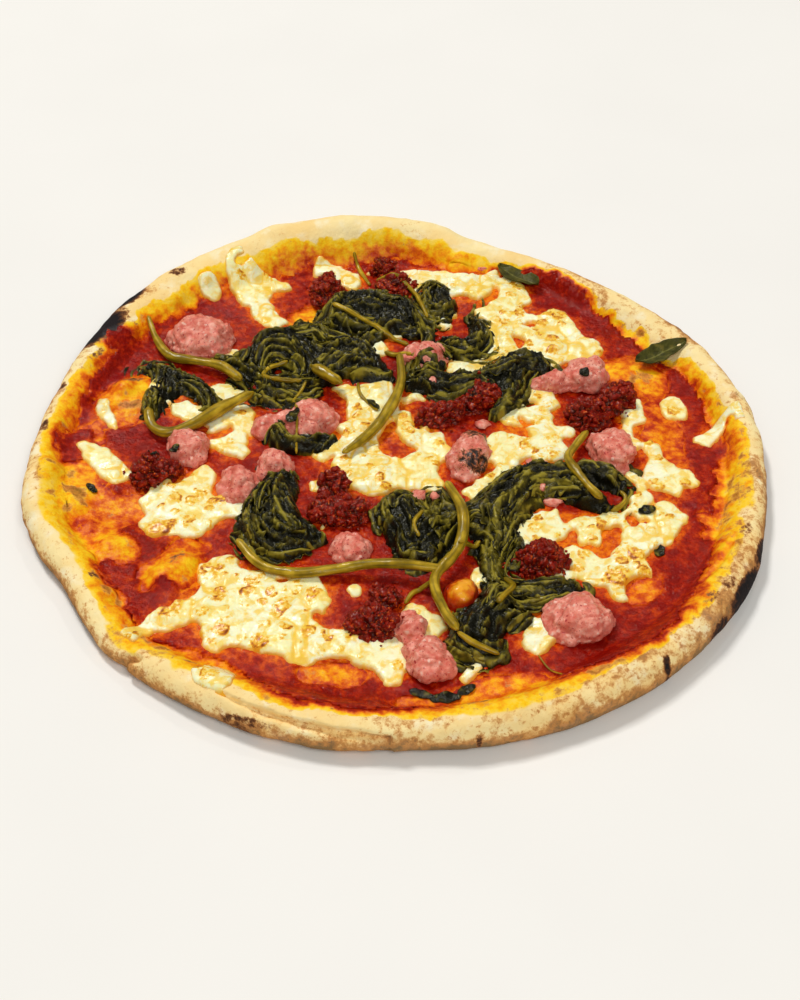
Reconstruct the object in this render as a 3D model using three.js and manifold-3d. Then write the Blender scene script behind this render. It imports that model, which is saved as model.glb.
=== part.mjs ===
// A baked pizza about 32 cm across: a puffed crust, melted mozzarella, pink sausage, dark red soft spicy
// sausage, wilted broccoli rabe with its stems, basil and a roast tomato.
// Millimetres, +Z up. The crust's flat underside lies on z = 0, and the origin is under its middle.
import * as THREE from "three";
import { mergeVertices } from "three/addons/utils/BufferGeometryUtils.js";
import Module from "manifold-3d";

// --- driving dimensions -------------------------------------------------------------------------

const BASE_THICKNESS = 4; // dough under the toppings
const GAP = 0.3; // between two pieces that touch on the real pizza
const BED = BASE_THICKNESS + GAP + 0.05; // where flat-bottomed toppings start
const CHEESE_THICKNESS = 2;

// Crust values go counter-clockwise from +X, one for every 15 degrees.
const OUTER_RADIUS = [
  157, 155.5, 155.5, 149, 152, 154, 163, 166, 165, 166.5, 162, 157.5, 159.5, 162, 156.5, 161, 162,
  163.5, 163, 165, 165.5, 165, 162.5, 158,
];
const RIM_WIDTH = [
  17, 17, 19, 18, 17, 20, 27, 31, 30, 28, 23, 17, 15, 18, 18, 17, 21, 25, 21, 22, 25, 23, 21, 17,
];
const RIM_HEIGHT = [
  12.5, 13, 11, 12.5, 11, 12, 19, 21.5, 18, 15, 13, 11.5, 12, 14, 13, 12, 13, 14, 14, 15, 15, 15, 14,
  12.5,
];
const RADIUS = 160; // of the section that is warped round the crust, with the next two
const RIM = 20;
const HEIGHT = 14;
const RIM_SECTION = [
  [0.3, 0],
  [0.05, 0.1],
  [0, 0.42],
  [0.12, 0.85],
  [0.38, 1],
  [0.63, 0.88],
  [0.83, 0.58],
  [1, BASE_THICKNESS / HEIGHT],
]; // share of the rim's width going in, and share of its height
const BED_SHARES = [0.92, 0.82, 0.7, 0.5, 0]; // rings of the bed, as shares of its radius
const CRUST_STEPS = 56;

// Where the rim is pinched down: heading and half width in degrees, and share of height lost.
const PINCHES = [
  { heading: 226, spread: 8, loss: 0.4 },
  { heading: 28, spread: 10, loss: 0.35 },
];

// Puffed places in the dough inside the rim.
const BLISTERS = [
  { x: -121, y: 38, radius: 17, height: 5.5 },
  { x: -139, y: -24, radius: 17, height: 5 },
  { x: -93, y: -71, radius: 17, height: 6.5 },
  { x: -118, y: -55, radius: 14, height: 4 },
  { x: -139, y: 6, radius: 12, height: 3 },
  { x: 29, y: 130, radius: 11, height: 4.5 },
  { x: 112, y: 18, radius: 16, height: 3 },
  { x: 109, y: 50, radius: 15, height: 3 },
];

const CRUST_LOOK = { color: 0xe2b473, roughness: 0.85 };
const SAUSAGE_LOOK = { color: 0xb9575c, roughness: 0.45 };
const SPICY_LOOK = { color: 0x6b0f08, roughness: 0.3 };
const CHEESE_LOOK = { color: 0xfbe9a8, roughness: 0.4 };
const LEAF_LOOK = { color: 0x23280d, roughness: 0.35 };
const STEM_LOOK = { color: 0x8b8224, roughness: 0.35 };
const BASIL_LOOK = { color: 0x2f3312, roughness: 0.45 };
const TOMATO_LOOK = { color: 0xd0520e, roughness: 0.3 };

// Each topping is a list of lumps: [x, y, half length, half width, height, turn in degrees].
const SAUSAGE = [
  [[-91, 76, 17.5, 14.5, 11, 0]],
  [[12, 63, 12, 9.5, 9, 0]],
  [[85, 47, 12, 10.5, 10, 30], [69, 42, 10, 7, 8, 10]],
  [[92, -3, 14, 12, 11, 80]],
  [[30, -6, 16, 9.5, 10, 80]],
  [[-40, 19, 16, 12.5, 11, 0], [-56, 16, 10, 8, 8, 30]],
  [[-91, 2, 13, 10, 10, 110]],
  [[-68, -22, 11, 10, 9, 100], [-54, -11, 10, 9, 9, 50]],
  [[-19, -60, 10, 9, 8, 0], [-9, -50, 8, 5, 6, -20]],
  [[11, -121, 12, 11, 9, -30], [4, -104, 10, 7, 8, 100]],
  [[70, -101, 15, 13, 12, 0]],
];
const SPICY = [
  [[-34, 111, 13, 8.5, 9, 85]],
  [[-1, 115, 10, 9, 9, 60], [-6, 127, 7, 5, 9, 100]],
  [[19, 21, 13, 7.5, 8, 20], [36, 30, 10, 8.5, 9, 30]],
  [[83, 21, 11, 10, 10, 40], [97, 31, 13, 8, 10, 45]],
  [[-103, -15, 12, 9, 9, 20]],
  [[-24, -39, 13, 10, 9, -10], [-27, -23, 9, 6.5, 8, 90]],
  [[56, -69, 13, 10, 9, 10]],
  [[-10, -102, 12, 10, 9, 0], [-6, -87, 8, 7, 8, 80]],
];
const TOMATO = [24, -87, 8.5, 7.5, 9, 70];

// Outlines of the melted mozzarella, each with corners [x, y] that a smooth closed line passes.
const MOZZARELLA = [
  [[37, 98], [43, 102], [49, 110], [50, 123], [54, 125], [59, 116], [63, 110], [60, 102], [63, 96],
    [70, 94], [77, 97], [83, 90], [88, 78], [94, 70], [92, 61], [76, 56], [66, 60], [56, 64],
    [45, 59], [38, 65], [38, 78], [41, 86]],
  [[-1, 130], [5, 131], [10, 129], [15, 131], [21, 127], [28, 124], [36, 122], [43, 126], [49, 128],
    [49, 120], [45, 111], [37, 104], [31, 108], [22, 111], [13, 107], [8, 108], [8, 116], [4, 125]],
  [[-80, 130], [-76, 134], [-71, 130], [-66, 124], [-58, 123], [-52, 120], [-52, 114], [-62, 112],
    [-59, 102], [-53, 93], [-50, 86], [-58, 84], [-64, 89], [-69, 101], [-71, 105], [-76, 106],
    [-80, 114], [-83, 121]],
  [[-41, 128], [-37, 134], [-28, 131], [-18, 129], [-15, 124], [-18, 116], [-22, 112], [-26, 113],
    [-27, 120], [-34, 124], [-40, 121]],
  [[-87, 32], [-82, 38], [-81, 45], [-76, 48], [-70, 44], [-68, 40], [-75, 35], [-79, 31]],
  [[-101, 28], [-98, 34], [-92, 35], [-87, 30], [-85, 24], [-91, 20], [-98, 22]],
  [[-85, 13], [-80, 22], [-71, 32], [-66, 34], [-63, 25], [-60, 13], [-65, 7], [-63, -1], [-65, -6],
    [-71, -2], [-79, 3], [-83, 8], [-76, 8], [-73, 10], [-75, 18], [-79, 12]],
  [[-81, -4], [-79, -12], [-79, -20], [-72, -24], [-73, -33], [-63, -32], [-63, -38], [-74, -41],
    [-80, -50], [-86, -53], [-95, -50], [-105, -51], [-110, -43], [-104, -38], [-109, -29],
    [-104, -24], [-94, -21], [-91, -16], [-87, -13], [-84, -7]],
  [[-37, 46], [-25, 44], [-10, 45], [-3, 48], [-1, 34], [-7, 22], [-8, 12], [-9, 0], [-2, -3],
    [4, -4], [8, 2], [3, 6], [-1, 14], [-4, 22], [2, 28], [8, 24], [8, 17], [15, 15], [21, 11],
    [22, 2], [20, -8], [17, -16], [19, -23], [14, -28], [10, -23], [-3, -26], [-9, -28], [-20, -22],
    [-26, -11], [-32, -20], [-36, -28], [-39, -23], [-34, -15], [-26, -6], [-27, 2], [-24, 8],
    [-27, 13], [-22, 22], [-25, 30], [-24, 38]],
  [[38, 8], [44, 13], [51, 11], [56, 5], [59, 4], [58, 10], [52, 14], [47, 18], [49, 26], [55, 30],
    [60, 25], [61, 18], [66, 22], [73, 15], [79, 11], [68, 3], [78, -2], [74, -6], [60, -9],
    [53, -9], [48, -15], [43, -23], [30, -29], [24, -25], [33, -19], [42, -13], [38, -8], [41, 2]],
  [[22, 54], [24, 62], [33, 64], [42, 60], [46, 56], [41, 49], [34, 46], [26, 49]],
  [[116, 31], [118, 36], [122, 39], [125, 35], [128, 29], [128, 21], [125, 17], [120, 18],
    [117, 24]],
  [[104, 2], [107, 6], [111, 5], [114, 0], [116, -10], [121, -12], [127, -17], [128, -22],
    [123, -24], [120, -30], [113, -29], [107, -27], [104, -16], [106, -8]],
  [[95, -12], [100, -13], [104, -22], [104, -34], [99, -41], [99, -48], [105, -46], [105, -38],
    [110, -34], [118, -38], [120, -45], [113, -54], [110, -60], [101, -63], [98, -70], [102, -73],
    [101, -78], [92, -79], [90, -89], [85, -88], [81, -79], [72, -79], [62, -78], [66, -74],
    [78, -71], [68, -64], [66, -57], [73, -58], [84, -66], [89, -58], [90, -46], [86, -49],
    [81, -59], [75, -57], [73, -50], [75, -42], [85, -41], [93, -39], [98, -32], [99, -26],
    [97, -18]],
  [[-56, -74], [-50, -70], [-44, -71], [-37, -74], [-31, -80], [-27, -87], [-33, -99], [-33, -104],
    [-20, -108], [-28, -117], [-40, -122], [-52, -116], [-66, -111], [-72, -115], [-79, -110],
    [-79, -100], [-90, -102], [-98, -105], [-104, -112], [-109, -105], [-100, -97], [-96, -90],
    [-88, -88], [-82, -80], [-83, -71], [-77, -64], [-70, -60], [-62, -67], [-59, -76]],
  [[52, -40], [60, -38], [64, -36], [68, -40], [65, -44], [71, -47], [69, -53], [61, -55],
    [52, -60], [49, -57], [50, -48]],
  [[-20, -114], [-16, -112], [-10, -109], [-4, -110], [-2, -118], [1, -127], [1, -132], [-4, -134],
    [-9, -129], [-11, -124], [-17, -118]],
  [[128, 2], [128, 8], [134, 14], [142, 17], [149, 17], [152, 13], [147, 9], [139, 7], [133, 1]],
];
const OUTLINE_STEP = 7; // length of one facet along an outline

// Wilted leaves lie in strokes: [x, y, half width, height] along each one.
const LEAVES = [
  [[[-34, 88, 9, 9], [-20, 93, 17, 12], [-3, 92, 15, 12], [9, 84, 8, 8]]],
  [[[-34, 70, 8, 9], [-22, 62, 13, 11], [-7, 51, 8, 9]]],
  [[[-66, 60, 9, 9], [-55, 69, 13, 12], [-45, 65, 11, 11], [-42, 52, 8, 8]],
    [[-62, 34, 6, 7], [-52, 43, 9, 9], [-36, 40, 6, 7]]],
  [[[-113, 55, 4, 5], [-102, 49, 7, 7], [-105, 36, 7, 7], [-109, 24, 3.5, 5]],
    [[-102, 47, 6, 7], [-89, 40, 5, 6], [-84, 29, 3, 5]]],
  [[[17, 116, 4, 6], [19, 104, 9, 8], [22, 93, 8, 7]]],
  [[[35, 89, 3.5, 6], [38, 76, 5.5, 8], [28, 67, 7, 8], [18, 73, 5, 7]]],
  [[[3, 45, 7, 9], [20, 43, 8, 9], [36, 40, 8, 10], [48, 47, 10, 10], [58, 57, 8, 10],
    [69, 52, 4, 7]],
    [[52, 42, 8, 8], [48, 31, 7, 8], [42, 21, 4, 6]]],
  [[[-52, 16, 5, 9], [-51, 3, 5, 7]], [[-50, 3, 5, 7], [-29, 4, 6, 7]]],
  [[[-47, -17, 6, 9], [-54, -34, 11, 12], [-51, -51, 16, 13], [-36, -54, 12, 10]]],
  [[[2, -31, 9, 10], [0, -45, 12, 12], [10, -54, 13, 11], [2, -67, 10, 9]]],
  [[[25, -43, 8, 10], [36, -43, 12, 12], [46, -33, 10, 11], [54, -22, 8, 10], [67, -19, 9, 10],
    [77, -29, 7, 9], [88, -38, 4, 7]],
    [[42, -50, 6, 9], [37, -64, 4.5, 7], [37, -76, 4, 6]],
    [[73, -14, 5, 7], [85, -18, 6.5, 8], [95, -27, 4, 6]]],
  [[[39, -80, 6, 8], [37, -95, 9, 10], [27, -109, 12, 11], [38, -118, 7, 9]],
    [[44, -86, 5, 7], [57, -86, 7, 8], [70, -84, 5, 7]], [[36, -99, 6, 8], [51, -99, 4, 6]]],
];

// Corners of a leaf stroke's section, as shares of its half width and of its height.
const LEAF_SECTION = [[1, 0], [0.75, 0.72], [0, 1], [-0.8, 0.65], [-1, 0]];
const LEAF_WAVES = 0.8; // unevenness of a leaf stroke's top

// Stems: [x, y, z of the middle, radius].
const STEMS = [
  [[-116, 88, 11.5, 0.9], [-111, 74, 9, 1.7], [-104, 63, 8, 2.3], [-92, 59, 8, 2.4], [-80, 54, 9, 2.4],
    [-70, 43, 10, 2.1]],
  [[-110, 24, 10.5, 1.9], [-108, 15, 8.8, 2.3], [-101, 9.5, 8.6, 2.5], [-90, 14, 9, 2.8],
    [-78, 24, 9.5, 3], [-64, 33, 11, 2.4]],
  [[-39, 50, 12, 2.6], [-32, 44, 12, 3], [-25, 37.5, 12, 2.8]],
  [[1, 58, 12, 1.6], [1, 38, 10.5, 2.2], [-6, 18, 9.5, 2.7], [-14, 5, 9.2, 2.5], [-24, -5, 8.8, 1.4]],
  [[-66, -58, 10, 1.6], [-56, -71, 8.6, 2], [-42, -76, 8.8, 2.3], [-26, -75, 9.6, 2.4],
    [-12, -73.5, 11, 2.2], [4, -75, 12, 2.2], [18, -77, 11, 2]],
  [[20, -29, 14, 1.7], [26, -48, 15, 2.3], [24, -66, 13, 2.5], [14, -82, 11, 2.1], [17, -100, 13, 2.1],
    [22, -113, 15, 1.9]],
  [[82, 7, 9.5, 1.5], [76, -2, 9, 1.8], [72, -13, 12, 2.1], [77, -27, 13, 1.8], [84, -38, 12, 1.6]],
];

const STEM_SIDES = 5;
const END_TAPER = 0.65; // of the last rings of a stem or leaf
const TIP_REACH = 0.6; // of the point beyond them, as a share of the width there

// Flat leaves: [x, y, half length, half width, turn in degrees, lift above the bed].
const BASIL = [
  [120, 62, 13, 5, 25, 3],
  [58, 122, 11, 4.5, -45, 1],
];
const BASIL_THICKNESS = 0.9;
const BASIL_ENDS = [0.8, 0.6]; // half widths at its two ends
const BASIL_CUP = 0.8; // rise of its edges
const BASIL_ARCH = 1.2; // rise of its ends

// Lumps are domes with a flat foot.
const LUMP_SIDES = 10;
const LUMP_RINGS = 4;
const LUMP_SWEEP = 0.56 * Math.PI; // from the top down to a little under the middle
const LUMP_FOOT = 0.94; // size of the foot
const LUMP_SWELL = 0.13; // unevenness

// --- small helpers ------------------------------------------------------------------------------

const TAU = 2 * Math.PI;
const wasm = await Module();
wasm.setup();

const { clamp, degToRad, euclideanModulo, lerp } = THREE.MathUtils;
const column = (rows, k) => rows.map((row) => row[k]);
const steps = (count, make) => Array.from({ length: count }, (_, i) => make(i));

// Smooth value at an angle from values spaced evenly round the circle.
function around(values, angle) {
  const place = euclideanModulo(angle / TAU, 1) * values.length;
  const i = Math.floor(place);
  const t = place - i;
  const [a, b, c, d] = [-1, 0, 1, 2].map((k) => values[(i + k + values.length) % values.length]);
  return b + 0.5 * t * (c - a + t * (2 * a - 5 * b + 4 * c - d + t * (3 * (b - c) + d - a)));
}

// Value at share t of a list, by straight lines.
function along(values, t) {
  const place = t * (values.length - 1);
  const i = Math.min(Math.floor(place), values.length - 2);
  return lerp(values[i], values[i + 1], place - i);
}

// A bell of height 1 that is flat outside its spread.
function bell(distance, spread) {
  const share = Math.min(1, Math.abs(distance) / spread);
  return (1 - share * share) ** 2;
}

// A gentle unevenness between -1 and 1.
function uneven(x, y, z, seed) {
  const waves = [x + 1.7 * seed, 1.3 * y + 2.9 * seed, 1.1 * z + x + 4.1 * seed].map(Math.sin);
  return (waves[0] + waves[1] + waves[2]) / 3;
}

// Moves each vertex of a geometry by a function of its place.
function reshape(geometry, move) {
  const position = geometry.getAttribute("position");
  const point = new THREE.Vector3();
  for (let i = 0; i < position.count; i++) {
    move(point.fromBufferAttribute(position, i));
    position.setXYZ(i, point.x, point.y, point.z);
  }
  return geometry;
}

// A closed geometry as a solid that can be joined and cut.
function solid(geometry) {
  const bare = new THREE.BufferGeometry();
  bare.setAttribute("position", geometry.getAttribute("position"));
  bare.setIndex(geometry.index);
  const merged = mergeVertices(bare, 1e-3);
  const corners = [];
  for (let i = 0; i < merged.index.count; i += 3) {
    const face = [0, 1, 2].map((k) => merged.index.getX(i + k));
    if (new Set(face).size === 3) corners.push(...face);
  }
  const mesh = { numProp: 3, vertProperties: merged.getAttribute("position").array };
  return new wasm.Manifold(new wasm.Mesh({ ...mesh, triVerts: new Uint32Array(corners) }));
}

function geometryOf(made) {
  const mesh = made.getMesh();
  const geometry = new THREE.BufferGeometry();
  geometry.setAttribute("position", new THREE.Float32BufferAttribute(mesh.vertProperties, 3));
  geometry.setIndex(new THREE.Uint32BufferAttribute(mesh.triVerts, 1));
  geometry.computeVertexNormals();
  return geometry;
}

const joined = (solids) => solids.reduce((a, b) => a.add(b));
const largest = (made) => made.decompose().reduce((a, b) => (b.volume() > a.volume() ? b : a));

function boxesMeet(a, b) {
  const [p, q] = [a.boundingBox(), b.boundingBox()];
  return [0, 1, 2].every((k) => p.min[k] < q.max[k] && q.min[k] < p.max[k]);
}

// --- the dough ----------------------------------------------------------------------------------

function blisterRise(x, y) {
  return BLISTERS.reduce((rise, b) => rise + b.height * bell(Math.hypot(x - b.x, y - b.y), b.radius), 0);
}

function rimHeight(angle) {
  return PINCHES.reduce((height, { heading, spread, loss }) => {
    const off = euclideanModulo(angle - degToRad(heading) + Math.PI, TAU) - Math.PI;
    return height * (1 - loss * bell(off, degToRad(spread)));
  }, around(RIM_HEIGHT, angle));
}

// Height above the bed where the rim's own height is `height`, for a share of its usual height.
function riseOf(share, height) {
  return ((share * HEIGHT - BASE_THICKNESS) * (height - BASE_THICKNESS)) / (HEIGHT - BASE_THICKNESS);
}

// Height of the dough's upper surface inside the crest of its rim.
function doughHeight(x, y) {
  const angle = Math.atan2(y, x);
  const inward = (around(OUTER_RADIUS, angle) - Math.hypot(x, y)) / around(RIM_WIDTH, angle);
  const slope = RIM_SECTION.slice(4); // from the crest inwards
  const k = slope.filter(([share]) => share < inward).length;
  const next = clamp(k, 1, slope.length - 1);
  const [a, high] = slope[next - 1];
  const [b, low] = slope[next];
  const share = lerp(high, low, clamp((inward - a) / (b - a), 0, 1));
  return BASE_THICKNESS + riseOf(share, rimHeight(angle)) + blisterRise(x, y);
}

// One lathe turn of the crust's usual section, then stretched to the crust's size at each heading.
function crust() {
  const bedRadius = RADIUS - RIM;
  const turned = new THREE.LatheGeometry(
    [
      new THREE.Vector2(0, 0),
      ...RIM_SECTION.map(([inward, up]) => new THREE.Vector2(RADIUS - inward * RIM, up * HEIGHT)),
      ...BED_SHARES.map((share) => new THREE.Vector2(share * bedRadius, BASE_THICKNESS)),
    ],
    CRUST_STEPS,
  );
  turned.rotateX(Math.PI / 2);
  return reshape(turned, (p) => {
    const angle = Math.atan2(p.y, p.x);
    const r = Math.hypot(p.x, p.y);
    const outer = around(OUTER_RADIUS, angle);
    const width = around(RIM_WIDTH, angle);
    const onRim = r > bedRadius - 1e-3;
    const warped = onRim ? outer - ((RADIUS - r) / RIM) * width : (r / bedRadius) * (outer - width);
    const share = p.z / HEIGHT;
    if (p.z > BASE_THICKNESS + 1e-3) p.z = BASE_THICKNESS + riseOf(share, rimHeight(angle));
    p.x = warped * Math.cos(angle);
    p.y = warped * Math.sin(angle);
    if (p.z > BASE_THICKNESS - 1e-3) p.z += blisterRise(p.x, p.y);
  });
}

// --- the toppings -------------------------------------------------------------------------------

// A rounded lump with a flat bottom, grown by some room where a neighbour is cut by it.
function lump([x, y, long, wide, high, turn], seed, room = 0) {
  const dome = new THREE.SphereGeometry(1, LUMP_SIDES, LUMP_RINGS, 0, TAU, 0, LUMP_SWEEP);
  dome.rotateX(Math.PI / 2);
  reshape(dome, (p) => {
    const swell = 1 + LUMP_SWELL * uneven(3.1 * p.x, 2.6 * p.y, 2.9 * p.z, seed);
    const foot = p.z < 0 ? LUMP_FOOT : 1;
    p.x *= foot * (long * swell + room);
    p.y *= foot * (wide * swell + room);
    p.z = Math.max(p.z, 0) * (high * swell + room);
  });
  const rim = LUMP_RINGS * (LUMP_SIDES + 1);
  const foot = new THREE.BufferGeometry();
  const points = Array.from(dome.getAttribute("position").array);
  foot.setAttribute("position", new THREE.Float32BufferAttribute([...points, 0, 0, 0], 3));
  const faces = Array.from(dome.index.array);
  for (let i = 0; i < LUMP_SIDES; i++) faces.push(rim + i + 1, rim + i, points.length / 3);
  foot.setIndex(faces);
  foot.rotateZ(degToRad(turn)).translate(x, y, BED);
  return foot;
}

// A closed body through rings of points, with a tip beyond each end.
function loft(rings, tips) {
  const sides = rings[0].length;
  const points = [tips[0], ...rings.flat(), tips[1]];
  const last = points.length - 1;
  const corner = (i, j) => 1 + i * sides + (j % sides);
  const faces = [];
  for (let j = 0; j < sides; j++) {
    faces.push(0, corner(0, j + 1), corner(0, j));
    faces.push(last, corner(rings.length - 1, j), corner(rings.length - 1, j + 1));
    for (let i = 0; i < rings.length - 1; i++) {
      faces.push(corner(i, j), corner(i, j + 1), corner(i + 1, j));
      faces.push(corner(i, j + 1), corner(i + 1, j + 1), corner(i + 1, j));
    }
  }
  const geometry = new THREE.BufferGeometry().setFromPoints(points);
  geometry.setIndex(faces);
  return geometry;
}

// A body swept along a spine. `section` gives a ring's corners at share t as [across, up] pairs.
function sweep(spine, count, section, tipReach) {
  const line = new THREE.CatmullRomCurve3(spine, false, "centripetal");
  const heading = (t) => line.getTangent(t).setZ(0).normalize();
  const rings = steps(count + 1, (i) => {
    const t = i / count;
    const ahead = heading(t);
    const across = new THREE.Vector3(-ahead.y, ahead.x, 0);
    const taper = i === 0 || i === count ? END_TAPER : 1;
    return section(t).map(([out, up]) =>
      line.getPoint(t).addScaledVector(across, taper * out).add(new THREE.Vector3(0, 0, taper * up)),
    );
  });
  const tips = [0, 1].map((t) => line.getPoint(t).addScaledVector(heading(t), (t ? 1 : -1) * tipReach(t)));
  return loft(rings, tips);
}

// A stroke of wilted leaf: a low mound with a flat foot.
function leafStroke(stroke, room = 0) {
  const spine = stroke.map(([x, y]) => new THREE.Vector3(x, y, BED - room));
  const halves = column(stroke, 2);
  const heights = column(stroke, 3);
  const section = (t) => {
    const half = along(halves, t) + room;
    const high = along(heights, t) + 2 * room;
    return LEAF_SECTION.map(([out, up]) => [out * half, up * high]);
  };
  const tipReach = (t) => TIP_REACH * (along(halves, t) + room);
  const mound = sweep(spine, 2 * stroke.length - 1, section, tipReach);
  return reshape(mound, (p) => {
    if (p.z > BED + 2) p.z += LEAF_WAVES * uneven(0.45 * p.x, 0.4 * p.y, 0, 2);
  });
}

function stem(points, room = 0) {
  const spine = points.map(([x, y, z]) => new THREE.Vector3(x, y, z));
  const radii = column(points, 3);
  const section = (t) => {
    const radius = along(radii, t) + room;
    return steps(STEM_SIDES, (j) => {
      const turn = (TAU * j) / STEM_SIDES;
      return [radius * Math.cos(turn), radius * Math.sin(turn)];
    });
  };
  return sweep(spine, 2 * points.length, section, (t) => TIP_REACH * (along(radii, t) + room));
}

// A flat pointed leaf with a shallow dip along its midrib.
function basilLeaf([x, y, long, wide, turn, lift], room = 0) {
  const spine = [-1, -0.4, 0.3, 1].map(
    (share) => new THREE.Vector3(share * long, 0, Math.abs(share) * BASIL_ARCH),
  );
  const half = BASIL_THICKNESS / 2 + room;
  const section = (t) => {
    const out = along([BASIL_ENDS[0], 0.9 * wide, wide, BASIL_ENDS[1]], t) + room;
    return [[out, BASIL_CUP], [0, half], [-out, BASIL_CUP], [0, -half]];
  };
  const blade = sweep(spine, 8, section, () => 1 + room);
  return blade.rotateZ(degToRad(turn)).translate(x, y, BED + BASIL_THICKNESS + lift);
}

// A patch of melted cheese that lies on the dough and follows it.
function cheesePatch(corners) {
  const points = corners.map(([x, y]) => new THREE.Vector3(x, y, 0));
  const edge = new THREE.CatmullRomCurve3(points, true, "centripetal");
  const count = Math.round(edge.getLength() / OUTLINE_STEP);
  const shape = new THREE.Shape(edge.getSpacedPoints(count).slice(0, -1));
  const slab = new THREE.ExtrudeGeometry(shape, { depth: CHEESE_THICKNESS, bevelEnabled: false });
  return reshape(slab, (p) => (p.z += doughHeight(p.x, p.y) + 2 * GAP));
}

// --- assembly -----------------------------------------------------------------------------------

const pizza = new THREE.Group();
const laid = []; // what is on the pizza so far, each grown by the gap

function addMesh(name, made, look) {
  const mesh = new THREE.Mesh(geometryOf(made), new THREE.MeshStandardMaterial(look));
  mesh.name = name;
  pizza.add(mesh);
}

// Lays a topping, less what lies there already, and keeps its place clear of what follows.
function lay(name, makeShapes, look) {
  const shape = joined(makeShapes(0).map(solid));
  const grown = joined(makeShapes(GAP).map(solid)).add(shape);
  const left = laid.filter((other) => boxesMeet(other, grown)).reduce((a, b) => a.subtract(b), shape);
  addMesh(name, largest(left), look);
  laid.push(grown);
}

const crustSolid = solid(crust());
addMesh("crust", crustSolid, CRUST_LOOK);
laid.push(crustSolid.translate([0, 0, GAP]));

const numbered = (name, i) => `${name}_${String(i + 1).padStart(2, "0")}`;
const layLumps = (name, lumps, seed, look) =>
  lay(name, (room) => lumps.map((place, k) => lump(place, seed + 0.5 * k, room)), look);

STEMS.forEach((points, i) => lay(numbered("rabe_stem", i), (room) => [stem(points, room)], STEM_LOOK));
SAUSAGE.forEach((lumps, i) => layLumps(numbered("sausage", i), lumps, i, SAUSAGE_LOOK));
SPICY.forEach((lumps, i) => layLumps(numbered("spicy_sausage", i), lumps, 20 + i, SPICY_LOOK));
layLumps("tomato", [TOMATO], 40, TOMATO_LOOK);
LEAVES.forEach((strokes, i) =>
  lay(numbered("rabe_leaf", i), (room) => strokes.map((stroke) => leafStroke(stroke, room)), LEAF_LOOK),
);
BASIL.forEach((place, i) => lay(numbered("basil", i), (room) => [basilLeaf(place, room)], BASIL_LOOK));
MOZZARELLA.forEach((corners, i) =>
  lay(numbered("mozzarella", i), () => [cheesePatch(corners)], CHEESE_LOOK),
);

const extent = crustSolid.boundingBox();
pizza.position.set(-(extent.min[0] + extent.max[0]) / 2, -(extent.min[1] + extent.max[1]) / 2, 0);

export default pizza;
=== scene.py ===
"""A baked pizza: puffed crust, sauce, melted mozzarella, two sausages and wilted broccoli rabe.

Lengths are millimetres in the part's frame until a mesh is made, which is in metres.
"""
import math
from itertools import product

import bmesh
import bpy
import numpy as np
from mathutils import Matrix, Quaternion, Vector
from mathutils.bvhtree import BVHTree


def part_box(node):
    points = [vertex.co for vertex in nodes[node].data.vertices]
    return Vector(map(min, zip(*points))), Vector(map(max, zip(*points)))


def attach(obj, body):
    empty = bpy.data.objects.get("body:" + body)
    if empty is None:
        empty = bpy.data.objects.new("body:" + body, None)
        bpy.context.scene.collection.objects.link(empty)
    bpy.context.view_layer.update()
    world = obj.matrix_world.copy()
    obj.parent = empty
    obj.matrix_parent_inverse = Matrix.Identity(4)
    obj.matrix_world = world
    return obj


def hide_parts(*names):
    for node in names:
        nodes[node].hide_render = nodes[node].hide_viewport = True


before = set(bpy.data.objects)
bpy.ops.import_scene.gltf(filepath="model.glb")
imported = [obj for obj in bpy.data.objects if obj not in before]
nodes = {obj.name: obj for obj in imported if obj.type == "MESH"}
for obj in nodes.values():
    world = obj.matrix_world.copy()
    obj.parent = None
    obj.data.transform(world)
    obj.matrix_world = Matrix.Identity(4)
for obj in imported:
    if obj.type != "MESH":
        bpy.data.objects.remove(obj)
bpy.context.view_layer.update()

# --- sizes ----------------------------------------------------------------------------------------

TAU = 2 * math.pi
MM = 0.001
SHIFT = np.array([1.47, -0.44])  # from the middle of the dough, where places are measured, to the origin
HALF = 172.5  # half the side of the square on which the layers are worked out
STEP = 0.75  # and its grid
BED_TOP = 4.0  # height of the flat dough under the toppings

# The rim goes by heading, counter-clockwise from +X in steps of 15 degrees: how wide its bare dough is,
# how far in the red sauce starts, and how toasted it is.
TAN_WIDTH = [9, 12, 15, 13, 8.5, 14, 20, 22, 20, 20, 13, 6.5, 7, 12, 11, 8, 11, 11, 10, 9, 10, 9, 11, 11]
RED_START = [
    16, 17, 20, 14.5, 10, 20, 25.5, 27, 28, 25, 17, 12, 14, 30, 19, 20, 22, 13, 12, 25, 13.5, 11.5, 19, 20,
]
TOASTED = [
    0.28, 0.26, 0.25, 0.26, 0.14, 0.02, 0.0, 0.0, 0.02, 0.16, 0.3, 0.28, 0.26, 0.22, 0.2, 0.2, 0.2, 0.22,
    0.26, 0.28, 0.34, 0.4, 0.42, 0.34,
]

# Places where the dough shows through the sauce: x, y, half length, half width, turn, stain.
THIN_SAUCE = [
    (-118, -36, 17, 11, 20, 0.66), (116, 10, 9, 24, 0, 0.68), (98, -84, 10, 6, 40, 0.66),
    (106, 50, 17, 11, -30, 0.5), (-121, 36, 17, 12, 60, 0.48), (-140, -24, 24, 12, 70, 0.42),
    (-92, -72, 15, 11, 20, 0.44), (-43, 93, 8, 9, 0, 0.5), (-119, -58, 12, 9, -30, 0.45),
    (-26, -126, 12, 6, 0, 0.55), (-86, -58, 9, 6, 30, 0.6), (30, 131, 9, 7, 0, 0.42),
    (-137, 8, 9, 8, 60, 0.5), (136, 60, 9, 5, -50, 0.5), (-105, 104, 9, 5, 50, 0.5),
    (40, -133, 22, 6, 8, 0.52), (-122, 82, 9, 5, 60, 0.5), (10, -140, 12, 4, 0, 0.6),
]

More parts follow.
